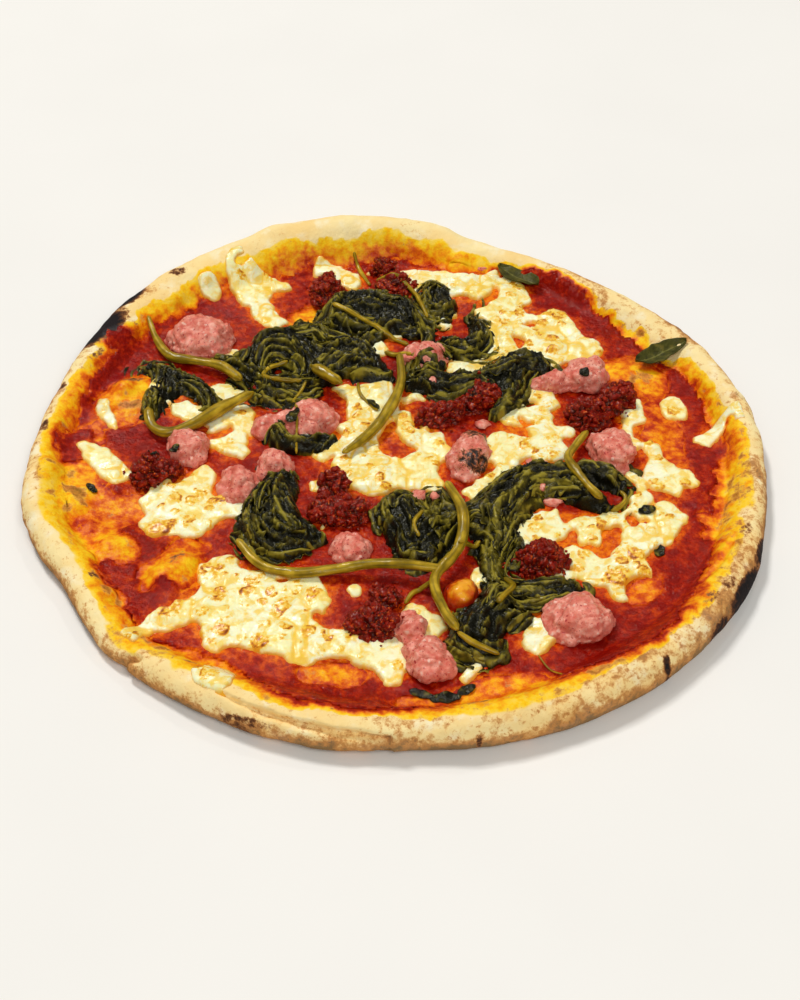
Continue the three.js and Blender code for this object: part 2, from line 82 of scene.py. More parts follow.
# Places near the rim with more sauce or oil: x, y, half length, half width, turn, stain.
STAINED = [
    (-137, 4, 10, 9, 60, 1.1), (-131, -45, 6, 4, -20, 0.86), (-113, -75, 13, 6, -55, 1.1),
    (-94, -81, 4, 4, 0, 1.1), (-104, -92, 9, 5, -40, 1.1), (-88, -107, 12, 6, -10, 1.1),
    (-128, 72, 9, 6, 50, 1.1), (-106, -112, 8, 8, 40, 0.3), (141, -30, 6, 16, 10, 0.3),
    (134, -52, 6, 10, 20, 0.4), (-128, -28, 12, 4, 70, 0.62), (-124, -56, 10, 3, -40, 0.66),
    (-136, -12, 8, 3, 60, 0.6), (-112, -96, 8, 3, -50, 0.6),
]

# Small puffs in the dough: x, y, radius, rise.
PUFFS = [
    (-123, 41, 7, 2.2), (-114, 31, 6, 1.6), (-130, 30, 6, 1.8), (-147, -14, 8, 2.4), (-136, -32, 8, 2.4),
    (-128, -44, 6, 1.6), (-97, -75, 8, 2.2), (-86, -68, 7, 2.0), (-120, -56, 8, 1.8),
    (-126, -64, 6, 1.6), (-150, 14, 6, 1.6), (-143, 34, 7, 2.0), (30, 131, 7, 2.2), (-104, 103, 6, 1.5),
    (-124, 80, 6, 1.6), (-92, 116, 8, 1.4), (135, 60, 8, 1.8), (146, 2, 7, 1.2), (-140, 55, 6, 1.6),
    (-133, 70, 6, 1.4), (-108, -96, 8, 2.0), (-112, -84, 7, 1.6), (150, -18, 6, 1.0),
    (-60, 148, 12, 1.2), (20, 156, 14, 1.3), (-25, 152, 10, 1.0), (70, 138, 10, 0.9),
    (-151, -40, 7, 1.8), (40, -150, 12, 1.2), (85, -132, 12, 1.0), (-90, -124, 9, 1.2),
    (-11, -140, 7, 2.2), (96, -122, 7, 1.0),
]

# Slits between two rolls of the rim: path, depth, half width.
CREASES = [
    ([(-68, -141), (-60, -146), (-50, -151), (-38, -155.5), (-24, -159), (-4, -161.5)], 2.6, 1.5),
    ([(150, 26), (156, 22), (160, 16)], 2.4, 1.8),
    ([(130, 79), (137, 74), (143, 71)], 1.6, 1.8),
    ([(-118, -112), (-111, -118), (-100, -122)], 2.2, 1.8),
    ([(120, -84), (128, -76), (136, -62)], 0.9, 2.0),
]

# Scorched dough: x, y, half length, half width, turn, strength from brown at 0.5 to black at 1.
SCORCHES = [
    (-136, 78, 17, 8, 55, 1.0), (-127, 101, 12, 6, 50, 1.0), (-112, 127, 15, 4, 40, 0.75),
    (-104, 117, 5, 4, 0, 0.55), (147.5, -64, 12, 2.4, 66, 0.85), (138, -86, 18, 3.0, 59, 0.95),
    (126, -106, 10, 2.4, 50, 0.8), (141, -58, 6, 3, 60, 0.42), (130, -88, 6, 3, 50, 0.42),
    (122, -96, 6, 3, 50, 0.4), (101, -128, 2, 3, 0, 0.8), (29, -163, 2, 2.8, 0, 0.75),
    (-154, 12, 3, 4, 0, 0.6), (-150, 39, 3, 3, 0, 0.6), (-119, 46, 6, 3, 30, 0.5),
    (-122, -78, 3, 3, 0, 0.45), (102, 118, 9, 2, -45, 0.65), (-66, -152, 3, 1.4, 0, 0.6),
    (-143, -76, 13, 1.6, -60, 0.75), (-116, -72, 3, 2, 20, 0.4), (-90, -66, 6, 3, 60, 0.4),
    (-60, -151, 14, 1.2, -20, 0.5), (-136, 60, 6, 2, 60, 0.45),
]

# Small pieces of mozzarella: x, y, half length, half width, turn.
SMALL_CHEESE = [
    (104, 22, 13, 4.5, 72), (64, 33, 10, 4.5, -42), (-71, -134, 12, 8.5, 70), (8, 32.5, 7.5, 3, 5),
    (-32, -1.5, 7, 5.5, 60), (-16.5, -83, 6, 2.6, 65), (27, -126.5, 7, 4, 20), (52, -108, 9.5, 6.5, 80),
    (26, -95.5, 6.5, 2.6, 10), (9, -99, 11, 4, -55), (11, -66, 7, 2.8, -5), (40.5, -52, 5.5, 2.6, 60),
    (32, -75, 5.5, 4, 80), (56, -92.5, 5, 2.2, 0), (-8, 68, 5.5, 4, 80), (-1.5, 80.5, 6.5, 3.5, -10),
    (-37, 78.5, 5.5, 2.4, 80), (22, 88, 5, 3, -10), (25.5, 95, 3.5, 2.2, 0), (-76, 67, 6.5, 3.5, 50),
    (-128, 25, 12, 3.2, -62), (-125, -6, 15, 4.5, -50), (-110, 42, 9, 3, 95), (-13, 130, 2.4, 2, 0),
    (-32, -45, 4, 1.6, 70), (78, -46, 9, 7, 10), (73, -66, 10, 6, -20), (61, -76, 8, 3.5, 0),
    (101, -35, 4, 9, 0), (101, 7, 3.5, 8, 10), (-89, 110, 5, 6.5, 20), (-78, 40, 9, 7, 0),
    (62, 22, 8, 6, 20), (50, 21, 6, 5, 0), (-25, -112, 10, 7, -20), (-8, -114, 9, 6, 0),
    (-69, -36, 7, 3.5, 0), (12, -105, 4, 5, 60), (4, -95, 4, 5, 0), (-127, -6, 17, 5, -50),
    (150, 16, 6, 6, 0),
]

# Holes in the mozzarella, in the same way.
CHEESE_HOLES = [
    (55, 73, 2.0, 4, 0), (62, 88, 3, 2.4, 0), (84, -54, 2.4, 5.5, 20), (69, 104, 2.5, 5, 30),
    (71, -53, 2.2, 4.5, 10), (97, -45, 2, 4, 0), (-4, 5, 5, 8, 10), (56, 17, 2.4, 3, 0),
    (-46, -77, 2.4, 2.4, 0),
]

# Flat spread leaf between the heaps: x, y, half length, half width, turn.
LEAF_SPREAD = [
    (-39, 72, 8, 13, 0), (-66, 53, 10, 8, 0), (-33, 51, 8, 7, 0), (-12, 77, 7, 5, 20),
    (-44, 82, 6, 5, 0), (19, -42, 6, 15, 0), (-76, 60, 7, 4, -20), (8, 80, 6, 4, 20), (14, 56, 8, 4, 0),
    (48, -58, 3, 8, 10), (-44, 29, 4, 8, 70),
]
LEAF_SPREAD_HEIGHT = 9.0

# Stems: x, y, z of the middle, radius.
STEMS = [
    [(-116, 88, 11.5, 0.9), (-111, 74, 9, 1.7), (-104, 63, 8, 2.3), (-92, 59, 8, 2.4), (-80, 54, 9, 2.4),
     (-70, 43, 10, 2.1)],
    [(-110, 24, 10.5, 1.9), (-108, 15, 8.8, 2.3), (-101, 9.5, 8.6, 2.5), (-90, 14, 9, 2.8),
     (-78, 24, 9.5, 3), (-64, 33, 11, 2.4)],
    [(-39, 50, 12, 2.6), (-32, 44, 12, 3), (-25, 37.5, 12, 2.8)],
    [(1, 58, 12, 1.6), (1, 38, 10.5, 2.2), (-6, 18, 9.5, 2.7), (-14, 5, 9.2, 2.5), (-24, -5, 8.8, 1.4)],
    [(-66, -58, 10, 1.6), (-56, -71, 8.6, 2), (-42, -76, 8.8, 2.3), (-26, -75, 9.6, 2.4),
     (-12, -73.5, 11, 2.2), (4, -75, 12, 2.2), (18, -77, 11, 2)],
    [(20, -29, 14, 1.7), (26, -48, 15, 2.3), (24, -66, 13, 2.5), (14, -82, 11, 2.1), (17, -100, 13, 2.1),
     (22, -113, 15, 1.9)],
    [(82, 7, 9.5, 1.5), (76, -2, 9, 1.8), (72, -13, 12, 2.1), (77, -27, 13, 1.8), (84, -38, 12, 1.6)],
]

rng = np.random.default_rng(11)

# --- numbers over the plane and in space ------------------------------------------------------------

PRIMES = np.array([73856093, 19349663, 83492791], np.uint32)
WORD = 0xFFFFFFFF
SEED_FACTOR, SEED_OFFSET = 2654435761, 1013904223
MIXERS = [(15, 2246822519), (13, 3266489917)]  # shifts and factors that scramble a word
LAST_SHIFT = 16
FULL_TURN = 360  # degrees
BLUR_REACH = 2.6  # where a blur is cut off, as a share of its spread


def lattice(cells, seed):
    """A repeatable value from 0 to 1 for each whole-numbered cell."""
    mixed = (cells.astype(np.int64) & WORD).astype(np.uint32) * PRIMES
    start = np.uint32((seed * SEED_FACTOR + SEED_OFFSET) & WORD)
    mixed = mixed[..., 0] ^ mixed[..., 1] ^ mixed[..., 2] ^ start
    for shift, factor in MIXERS:
        mixed ^= mixed >> np.uint32(shift)
        mixed *= np.uint32(factor)
    mixed ^= mixed >> np.uint32(LAST_SHIFT)
    return mixed / 2.0**32


def spatial(points):
    """Points in space, with height 0 for places in the plane."""
    points = np.asarray(points, float)
    if points.shape[-1] == 3:
        return points
    return np.concatenate([points, np.zeros(points.shape[:-1] + (1,))], -1)


def noise(points, size, seed):
    """Smooth noise from -1 to 1 whose features are about `size` across."""
    place = spatial(points) / size
    cell = np.floor(place)
    share = place - cell
    share = share * share * (3 - 2 * share)
    total = 0
    for corner in product((0, 1), repeat=3):
        weight = np.prod(np.where(corner, share, 1 - share), -1)
        total = total + weight * lattice(cell + corner, seed)
    return 2 * total - 1


def fractal(points, size, octaves, seed):
    """Noise with finer and weaker noise added."""
    return sum(noise(points, size / 2**k, seed + k) / 2**k for k in range(octaves)) / 1.5


def grains(points, size, seed):
    """Grains round scattered centres: distance to the centre and to the border, and the grain's own value.

    Distances are shares of the size, and the value is from 0 to 1.
    """
    place = spatial(points) / size
    cell = np.floor(place)
    best = np.full(place.shape[:-1], np.inf)
    second = best.copy()
    value = np.zeros(place.shape[:-1])
    for step in product((-1, 0, 1), repeat=3):
        near = cell + step
        centre = near + np.stack([lattice(near, seed + k) for k in range(3)], -1)
        gap = np.linalg.norm(place - centre, axis=-1)
        value = np.where(gap < best, lattice(near, seed + 5), value)
        second = np.minimum(second, np.maximum(gap, best))
        best = np.minimum(best, gap)
    return best, second - best, value


def smooth(value, low, high):
    """0 below low, 1 above high and an even S between."""
    share = np.clip((value - low) / (high - low), 0, 1)
    return share * share * (3 - 2 * share)


def lerp(a, b, share):
    """From a at share 0 to b at share 1."""
    return a + (b - a) * share


def bell(share):
    """1 at share 0, falling smoothly to 0 at share 1."""
    return (1 - np.clip(share, 0, 1) ** 2) ** 2


def reach_of(xy, x, y, long, wide, turn):
    """How far places are out in an ellipse: 0 at its middle, 1 at its edge."""
    c, s = math.cos(math.radians(turn)), math.sin(math.radians(turn))
    dx, dy = xy[..., 0] - x - SHIFT[0], xy[..., 1] - y - SHIFT[1]
    return np.hypot((dx * c + dy * s) / long, (dy * c - dx * s) / wide)


def path_distance(xy, path):
    """Distance of places from a path of straight stretches."""
    best = np.full(xy.shape[:-1], np.inf)
    corners = np.array(path, float) + SHIFT
    for a, b in zip(corners[:-1], corners[1:]):
        along = b - a
        share = np.clip(((xy - a) @ along) / (along @ along), 0, 1)
        best = np.minimum(best, np.linalg.norm(xy - a - share[..., None] * along, axis=-1))
    return best


def direction(turn):
    """The way ahead in the plane at a turn in degrees, and the way to its left."""
    ahead = np.array([math.cos(math.radians(turn)), math.sin(math.radians(turn))])
    return ahead, np.array([-ahead[1], ahead[0]])


def by_heading(values, xy):
    """Value of a list for the rim at each place's heading."""
    heading = np.degrees(np.arctan2(xy[..., 1], xy[..., 0])) % FULL_TURN
    return np.interp(heading, np.arange(len(values) + 1) * FULL_TURN / len(values), values + values[:1])


LINE = np.arange(-HALF, HALF + STEP / 2, STEP)
GRID = np.stack(np.meshgrid(LINE, LINE, indexing="ij"), -1)


def blur(field, spread, step=STEP, axes=(0, 1), edge="edge"):
    """A field averaged with its surroundings."""
    reach = math.ceil(BLUR_REACH * spread / step)
    taps = np.exp(-0.5 * (np.arange(-reach, reach + 1) * step / spread) ** 2)
    taps /= taps.sum()
    for axis in axes:
        rows = np.moveaxis(field, axis, 0)
        padded = np.pad(rows, [(reach, reach)] + [(0, 0)] * (rows.ndim - 1), mode=edge)
        field = np.moveaxis(sum(w * padded[k:k + len(rows)] for k, w in enumerate(taps)), 0, axis)
    return field


def sample(field, xy):
    """A grid field's value at any place."""
    place = np.clip((xy + HALF) / STEP, 0, len(LINE) - 1.001)
    cell = place.astype(int)
    a, b = (place - cell)[..., 0], (place - cell)[..., 1]
    i, j = cell[..., 0], cell[..., 1]
    near = field[i, j] * (1 - b) + field[i, j + 1] * b
    far = field[i + 1, j] * (1 - b) + field[i + 1, j + 1] * b
    return near * (1 - a) + far * a


# --- meshes -----------------------------------------------------------------------------------------

surfaces = []  # of the pieces made so far


def node_arrays(name):
    """A CAD node's corners and triangles."""
    mesh = nodes[name].data
    mesh.calc_loop_triangles()
    points = np.empty(len(mesh.vertices) * 3)
    mesh.vertices.foreach_get("co", points)
    corners = np.empty(len(mesh.loop_triangles) * 3, np.int32)
    mesh.loop_triangles.foreach_get("vertices", corners)
    return points.reshape(-1, 3) / MM, corners.reshape(-1, 3)


def tree_of(points, faces):
    """A surface that rays can be cast at."""
    return BVHTree.FromPolygons(points.tolist(), faces.tolist())


SKY = 80.0  # a height above everything


def drop(tree, places):
    """Height of a surface under each place, or nan beside it."""
    heights = np.full(len(places), np.nan)
    for k, (x, y) in enumerate(places.tolist()):
        hit = tree.ray_cast((x, y, SKY), (0, 0, -1))[0]
        if hit is not None:
            heights[k] = hit.z
    return heights


def names_of(kind):
    """The CAD nodes of one kind, which are numbered."""
    return sorted(n for n in nodes if n.rsplit("_", 1)[0] == kind)


def height_over(names):
    """Height of some CAD nodes' tops over the grid, or nan beside them."""
    found = np.full(GRID.shape[:2], np.nan)
    for name in names:
        points, faces = node_arrays(name)
        tree = tree_of(points, faces)
        low = np.floor((points[:, :2].min(0) + HALF) / STEP).astype(int)
        high = np.ceil((points[:, :2].max(0) + HALF) / STEP).astype(int) + 1
        part = np.s_[low[0]:high[0], low[1]:high[1]]
        places = GRID[part]
        found[part] = np.fmax(found[part], drop(tree, places.reshape(-1, 2)).reshape(places.shape[:2]))
    return found


def make_piece(name, points, faces, look, replaced=(), marks=None):
    """A smooth mesh piece that rides on the pizza. `faces` is one array of faces or a list of several."""
    mesh = bpy.data.meshes.new(name)
    groups = faces if isinstance(faces, list) else [faces]
    mesh.from_pydata((points * MM).tolist(), [], [f for group in groups for f in group.tolist()])
    for mark, values in (marks or {}).items():
        attribute = mesh.attributes.new(mark, "FLOAT", "POINT")
        attribute.data.foreach_set("value", np.ascontiguousarray(values, np.float32).ravel())
    mesh.validate()
    mesh.shade_smooth()
    mesh.materials.append(look)
    piece = bpy.data.objects.new(name, mesh)
    bpy.context.scene.collection.objects.link(piece)
    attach(piece, "root")
    if replaced:
        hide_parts(*replaced)
    surfaces.append(tree_of(points, np.concatenate([g[:, k] for g in groups for k in corner_sets(g)])))


def corner_sets(faces):
    """Which corners of a face make its triangles."""
    return [[0, 1, 2]] if faces.shape[1] == 3 else [[0, 1, 2], [0, 2, 3]]


def ground_at(places):
    """Height of the topmost surface made so far under each place."""
    return np.nanmax([drop(tree, places) for tree in surfaces], axis=0)


def whole_corners(keep):
    """Kept cells of a grid, with no two that touch only at a corner."""
    keep = keep.copy()
    for _ in range(4):
        a, b, c, d = keep[:-1, :-1], keep[1:, :-1], keep[:-1, 1:], keep[1:, 1:]
        falling = a & d & ~b & ~c
        rising = b & c & ~a & ~d
        if not (falling | rising).any():
            break
        keep[1:, :-1] |= falling
        keep[:-1, :-1] |= rising
    return keep


def slab(places, top, bottom, keep_point, fields):
    """A closed body between two heights over the kept places of a grid: points, faces and marks."""
    keep = keep_point[:-1, :-1] & keep_point[1:, :-1] & keep_point[:-1, 1:] & keep_point[1:, 1:]
    keep = whole_corners(keep)
    used = np.zeros(top.shape, bool)
    for i, j in product((0, 1), repeat=2):
        used[i:i + keep.shape[0], j:j + keep.shape[1]] |= keep
    count = int(used.sum())
    index = np.full(top.shape, -1)
    index[used] = np.arange(count)
    points = np.concatenate([
        np.column_stack([places[used], top[used]]),
        np.column_stack([places[used], bottom[used]]),
    ])
    i, j = np.nonzero(keep)
    quads = np.stack([index[i, j], index[i + 1, j], index[i + 1, j + 1], index[i, j + 1]], -1)
    padded = np.pad(keep, 1)
    sides = []
    for di, dj, first, second in [(0, -1, 0, 1), (1, 0, 1, 2), (0, 1, 2, 3), (-1, 0, 3, 0)]:
        open_side = ~padded[i + 1 + di, j + 1 + dj]
        a, b = quads[open_side, first], quads[open_side, second]
        sides.append(np.stack([a, a + count, b + count, b], -1))
    faces = np.concatenate([quads, quads[:, ::-1] + count, *sides])
    return points, faces, {name: np.tile(field[used], 2) for name, field in fields.items()}


WELD = 0.01
ROUNDING = 6  # passes that round off a remeshed body


def remeshed(name, voxel):
    """A CAD node's body in small even faces, rounded off: points, faces and outward directions."""
    mesh = nodes[name].data.copy()
    body = bmesh.new()
    body.from_mesh(mesh)
    bmesh.ops.remove_doubles(body, verts=body.verts, dist=WELD * MM)
    body.to_mesh(mesh)
    body.free()
    work = bpy.data.objects.new("work", mesh)
    bpy.context.scene.collection.objects.link(work)
    grid = work.modifiers.new("grid", "REMESH")
    grid.mode = "VOXEL"
    grid.voxel_size = voxel * MM
    even = work.modifiers.new("even", "SMOOTH")
    even.factor = 0.5
    even.iterations = ROUNDING
    made = work.evaluated_get(bpy.context.evaluated_depsgraph_get()).to_mesh()
    points = np.empty(len(made.vertices) * 3)
    made.vertices.foreach_get("co", points)
    normals = np.empty(len(made.vertices) * 3)
    made.vertex_normals.foreach_get("vector", normals)
    faces = np.array([tuple(p.vertices) for p in made.polygons if len(p.vertices) == 4])
    bpy.data.objects.remove(work)
    bpy.data.meshes.remove(mesh)
    return points.reshape(-1, 3) / MM, faces, normals.reshape(-1, 3)


def together(parts):
    """Several bodies as one: points, faces and marks."""
    points, faces, marks, start = [], [], {}, 0
    for some, their_faces, their_marks in parts:
        points.append(some)
        faces.append(their_faces + start)
        start += len(some)
        for name, values in their_marks.items():
            marks.setdefault(name, []).append(values)
    return np.concatenate(points), np.concatenate(faces), {n: np.concatenate(v) for n, v in marks.items()}


# --- materials --------------------------------------------------------------------------------------

def linear(rgb):
    """A screen colour, 0 to 255, as light."""
    share = np.array(rgb, float) / 255
    light = np.where(share <= 0.04045, share / 12.92, ((share + 0.055) / 1.055) ** 2.4)
    return (*light.tolist(), 1.0)


class Look:
    """A procedural surface: a shader and the nodes that feed it. Sizes are in millimetres."""

    def __init__(self, name, **sockets):
        self.material = bpy.data.materials.new(name)
        self.material.use_nodes = True
        self.tree = self.material.node_tree
        self.shader = next(n for n in self.tree.nodes if n.type == "BSDF_PRINCIPLED")
        for socket, value in sockets.items():
            self.shader.inputs[socket.replace("_", " ")].default_value = value
        place = self.node("ShaderNodeTexCoord").outputs["Object"]
        scaled = self.node("ShaderNodeVectorMath", {0: place, "Scale": 1 / MM}, operation="SCALE")
        self.place = scaled.outputs[0]

    def node(self, kind, inputs=None, **settings):
        """A new node. Its inputs are sockets to link from, or values."""
        made = self.tree.nodes.new(kind)
        for key, value in settings.items():
            setattr(made, key, value)
        for key, value in (inputs or {}).items():
            if isinstance(value, bpy.types.NodeSocket):
                self.tree.links.new(value, made.inputs[key])
            else:
                made.inputs[key].default_value = value
        return made

    def mark(self, name):
        """A field that the mesh carries."""
        return self.node("ShaderNodeAttribute", attribute_name=name).outputs["Fac"]

    def noise(self, size, detail=3.0, rough=0.55, bend=0.0):
        made = self.node("ShaderNodeTexNoise", {
            "Vector": self.place, "Scale": 1 / size, "Detail": detail, "Roughness": rough, "Distortion": bend,
        })
        return made.outputs["Fac"]

    def cells(self, size, feature="F1"):
        made = self.node("ShaderNodeTexVoronoi", {"Vector": self.place, "Scale": 1 / size}, feature=feature)
        return made.outputs["Distance"]

    def range(self, value, low, high, to_low=0.0, to_high=1.0):
        settings = {"Value": value, "From Min": low, "From Max": high, "To Min": to_low, "To Max": to_high}
        return self.node("ShaderNodeMapRange", settings, interpolation_type="SMOOTHSTEP").outputs["Result"]

    def maths(self, operation, a, b):
        return self.node("ShaderNodeMath", {0: a, 1: b}, operation=operation).outputs[0]

    def frayed(self, value, texture, ends, least, most):
        """A value with a texture added to it, from least to most between the texture's two ends."""
        return self.maths("ADD", value, self.range(texture, *ends, least, most))

    def ramp(self, value, stops):
        """Colours along a value, from pairs of a place on it and a screen colour."""
        made = self.node("ShaderNodeValToRGB", {"Fac": value})
        elements = made.color_ramp.elements
        while len(elements) < len(stops):
            elements.new(0.5)
        for element, (place, rgb) in zip(elements, stops):
            element.position = place
            element.color = linear(rgb)
        return made.outputs["Color"]

    def mix(self, share, a, b):
        """From colour a to colour b. Each is a socket or a screen colour."""
        made = self.node("ShaderNodeMix", {0: share}, data_type="RGBA")
        for socket, colour in ((made.inputs[6], a), (made.inputs[7], b)):
            if isinstance(colour, bpy.types.NodeSocket):
                self.tree.links.new(colour, socket)
            else:
                socket.default_value = linear(colour)
        return made.outputs[2]

    def feed(self, **sources):
        """Sockets that the shader's inputs come from."""
        for socket, source in sources.items():
            self.tree.links.new(source, self.shader.inputs[socket.replace("_", " ")])

    def bump(self, *layers):
        """Fine relief, from pairs of a height from 0 to 1 and its depth in millimetres."""
        normal = None
        for height, depth in layers:
            settings = {"Height": height, "Distance": depth * MM}
            if normal is not None:
                settings["Normal"] = normal
            normal = self.node("ShaderNodeBump", settings).outputs["Normal"]
        self.feed(Normal=normal, Coat_Normal=normal)


MIDDLE = (0.3, 0.7)  # between which most of a noise's values lie
INNER = (0.35, 0.65)


def dough_look():
    look = Look("baked_dough", Roughness=0.8, Specular_IOR_Level=0.12)
    tan = look.mix(look.range(look.noise(26), *INNER), (255, 232, 168), (252, 216, 142))
    floury = look.mix(look.range(look.noise(9, 4), 0.5, 0.75), tan, (255, 240, 196))
    stain = look.frayed(look.mark("stain"), look.noise(4, 5, 0.65), MIDDLE, -0.2, 0.2)
    stained = look.ramp(stain, [
        (0.0, (254, 216, 84)), (0.26, (255, 204, 26)), (0.45, (250, 170, 10)), (0.64, (236, 118, 6)),
        (0.85, (198, 60, 6)), (1.0, (156, 26, 4)),
    ])
    base = look.mix(look.range(look.mark("stain"), 0.03, 0.14), floury, stained)
    # the toast mark also carries painted shade low on the rim's outer wall
    toast_and_wall_shade = look.frayed(look.mark("toast_and_wall_shade"), look.noise(4.2, 5, 0.7), (0.35, 0.75), -0.16, 0.22)
    toast_and_wall_shade = look.frayed(toast_and_wall_shade, look.noise(1.3, 3, 0.6), (0.5, 0.75), -0.03, 0.16)
    toasted = look.ramp(toast_and_wall_shade, [
        (0.0, (255, 255, 255)), (0.3, (228, 166, 88)), (0.55, (184, 112, 46)), (0.8, (104, 60, 26)),
    ])
    base = look.mix(look.range(toast_and_wall_shade, 0.22, 0.5, 0.0, 0.85), base, toasted)
    scorch = look.frayed(look.mark("scorch"), look.noise(2.4, 5, 0.7), MIDDLE, -0.2, 0.2)
    scorched = look.ramp(scorch, [(0.35, (186, 122, 66)), (0.6, (92, 56, 34)), (0.85, (34, 28, 28))])
    base = look.mix(look.range(scorch, 0.24, 0.5), base, scorched)
    look.feed(Base_Color=base, Roughness=look.range(look.mark("stain"), 0.1, 0.6, 0.85, 0.34))
    look.bump((look.noise(6, 5, 0.6), 0.9), (look.noise(1.1, 3), 0.18))
    return look.material


def sauce_look():
    look = Look(
        "tomato_sauce", Roughness=0.3, Specular_IOR_Level=0.12, Specular_Tint=(1, 0.42, 0.22, 1),
        Coat_Weight=0.14, Coat_Roughness=0.07,
    )
    thin = look.frayed(look.mark("thin"), look.noise(3.5, 5, 0.7), MIDDLE, -0.34, 0.34)
    red = look.ramp(thin, [
        (0.0, (130, 9, 2)), (0.3, (166, 28, 3)), (0.6, (206, 72, 6)), (0.95, (240, 126, 10)),
    ])
    look.feed(Base_Color=red, Roughness=look.range(look.noise(4, 3), *INNER, 0.16, 0.38))
    look.bump((look.noise(2.6, 5, 0.6), 0.8), (look.cells(1.7, "SMOOTH_F1"), 0.2))
    return look.material


def cheese_look():
    look = Look(
        "melted_mozzarella", Roughness=0.3, Specular_IOR_Level=0.2, Coat_Weight=0.3, Coat_Roughness=0.15,
        Subsurface_Weight=0.25, Subsurface_Radius=(0.004, 0.003, 0.0012), Subsurface_Scale=0.6,
    )
    cream = look.mix(look.range(look.noise(14, 3), *INNER), (255, 253, 212), (255, 246, 180))
    oil_and_valley_shade = look.mix(look.range(look.noise(5, 4, 0.6, 0.6), 0.42, 0.64, 0, 0.9), cream, (252, 212, 88))
    # painted shade: the low places between the cheese's lumps are painted a deeper yellow
    oil_and_valley_shade = look.mix(look.range(look.mark("valley_shade"), 0.1, 0.9, 0, 0.9), oil_and_valley_shade, (250, 202, 62))
    gold = look.frayed(look.mark("gold"), look.noise(1.6, 4, 0.6), MIDDLE, -0.16, 0.2)
    golden = look.ramp(gold, [
        (0.2, (254, 222, 92)), (0.42, (248, 192, 44)), (0.62, (214, 132, 26)), (0.86, (140, 68, 16)),
    ])
    colour = look.mix(look.range(gold, 0.14, 0.45), oil_and_valley_shade, golden)
    edge = look.mix(look.range(look.mark("thin"), 0.15, 0.9, 0, 0.9), colour, (248, 176, 40))
    look.feed(Base_Color=edge, Roughness=look.range(look.noise(3, 3), *MIDDLE, 0.2, 0.42))
    look.bump((look.noise(5, 4), 0.5), (look.noise(1.3, 3), 0.12))
    return look.material


def sausage_look():
    look = Look(
        "pink_sausage", Roughness=0.42, Specular_IOR_Level=0.25, Specular_Tint=(1, 0.8, 0.7, 1),
        Coat_Weight=0.22, Coat_Roughness=0.1,
        Subsurface_Weight=0.15, Subsurface_Radius=(0.003, 0.0012, 0.0008), Subsurface_Scale=0.6,
    )
    meat = look.ramp(look.noise(3.4, 4, 0.65), [
        (0.3, (216, 98, 80)), (0.5, (234, 138, 116)), (0.68, (248, 180, 156)),
    ])
    fat = look.range(look.mark("fat"), 0.45, 0.9, 0, 0.85)
    colour = look.mix(fat, meat, (246, 200, 178))
    # painted shade: the meat is darker in its grooves
    with_painted_shade = look.mix(look.range(look.mark("painted_shade"), 0.3, 1.0, 0, 0.5), colour, (200, 80, 60))
    lean = look.mix(look.range(look.noise(1.1, 2), 0.62, 0.68), with_painted_shade, (176, 44, 44))
    burnt = look.frayed(look.mark("scorch"), look.noise(1.6, 4, 0.7), MIDDLE, -0.35, 0.35)
    brown = look.ramp(burnt, [(0.3, (196, 118, 66)), (0.55, (110, 56, 30)), (0.75, (24, 16, 14))])
    look.feed(Base_Color=look.mix(look.range(burnt, 0.25, 0.45), lean, brown))
    look.feed(Roughness=look.range(look.noise(1.8, 3), *INNER, 0.26, 0.55))
    look.bump((look.noise(1.6, 4, 0.6), 0.35), (look.noise(0.6, 2), 0.1))
    return look.material


def spicy_look():
    look = Look(
        "spicy_sausage", Roughness=0.3, Specular_IOR_Level=0.2, Specular_Tint=(1, 0.5, 0.3, 1),
        Coat_Weight=0.2, Coat_Roughness=0.07,
    )
    meat = look.ramp(look.noise(2.0, 4, 0.7), [(0.3, (84, 6, 2)), (0.5, (130, 15, 6)), (0.68, (180, 48, 16))])
    # painted shade: the meat is darker in its grooves
    crevice_shaded = look.mix(look.range(look.mark("painted_shade"), 0.2, 1.0), meat, (66, 4, 2))
    crisp = look.frayed(look.mark("scorch"), look.noise(1.8, 4, 0.7), MIDDLE, -0.3, 0.3)
    colour = look.mix(look.range(crisp, 0.5, 0.8), crevice_shaded, (26, 12, 8))
    # painted highlights: small bright orange glints spotted over the meat
    painted_glints = look.mix(look.range(look.noise(1.0, 2), 0.62, 0.7), colour, (222, 104, 30))
    look.feed(Base_Color=painted_glints, Roughness=look.range(look.noise(1.4, 3), *INNER, 0.12, 0.4))
    look.bump((look.noise(0.9, 3), 0.25))
    return look.material


def leaf_look():
    look = Look(
        "wilted_leaf", Roughness=0.35, Specular_IOR_Level=0.12, Specular_Tint=(0.95, 0.9, 0.5, 1),
        Coat_Weight=0.22, Coat_Roughness=0.05,
    )
    green = look.ramp(look.noise(5, 4, 0.6), [(0.3, (44, 38, 5)), (0.5, (74, 66, 11)), (0.7, (120, 106, 24))])
    # painted light and shade: the fold tops are painted lighter and the low places between them nearly black
    lit_crest = look.mix(look.range(look.mark("fold"), 0.6, 0.92, 0, 0.85), green, (158, 142, 46))
    with_painted_shade = look.mix(look.range(look.mark("fold"), 0.25, 0.68, 1.0, 0), lit_crest, (10, 9, 2))
    look.feed(Base_Color=with_painted_shade, Roughness=look.range(look.noise(2, 3), *INNER, 0.16, 0.42))
    look.bump((look.noise(1.4, 4, 0.65), 0.35), (look.noise(0.5, 2), 0.1))
    return look.material


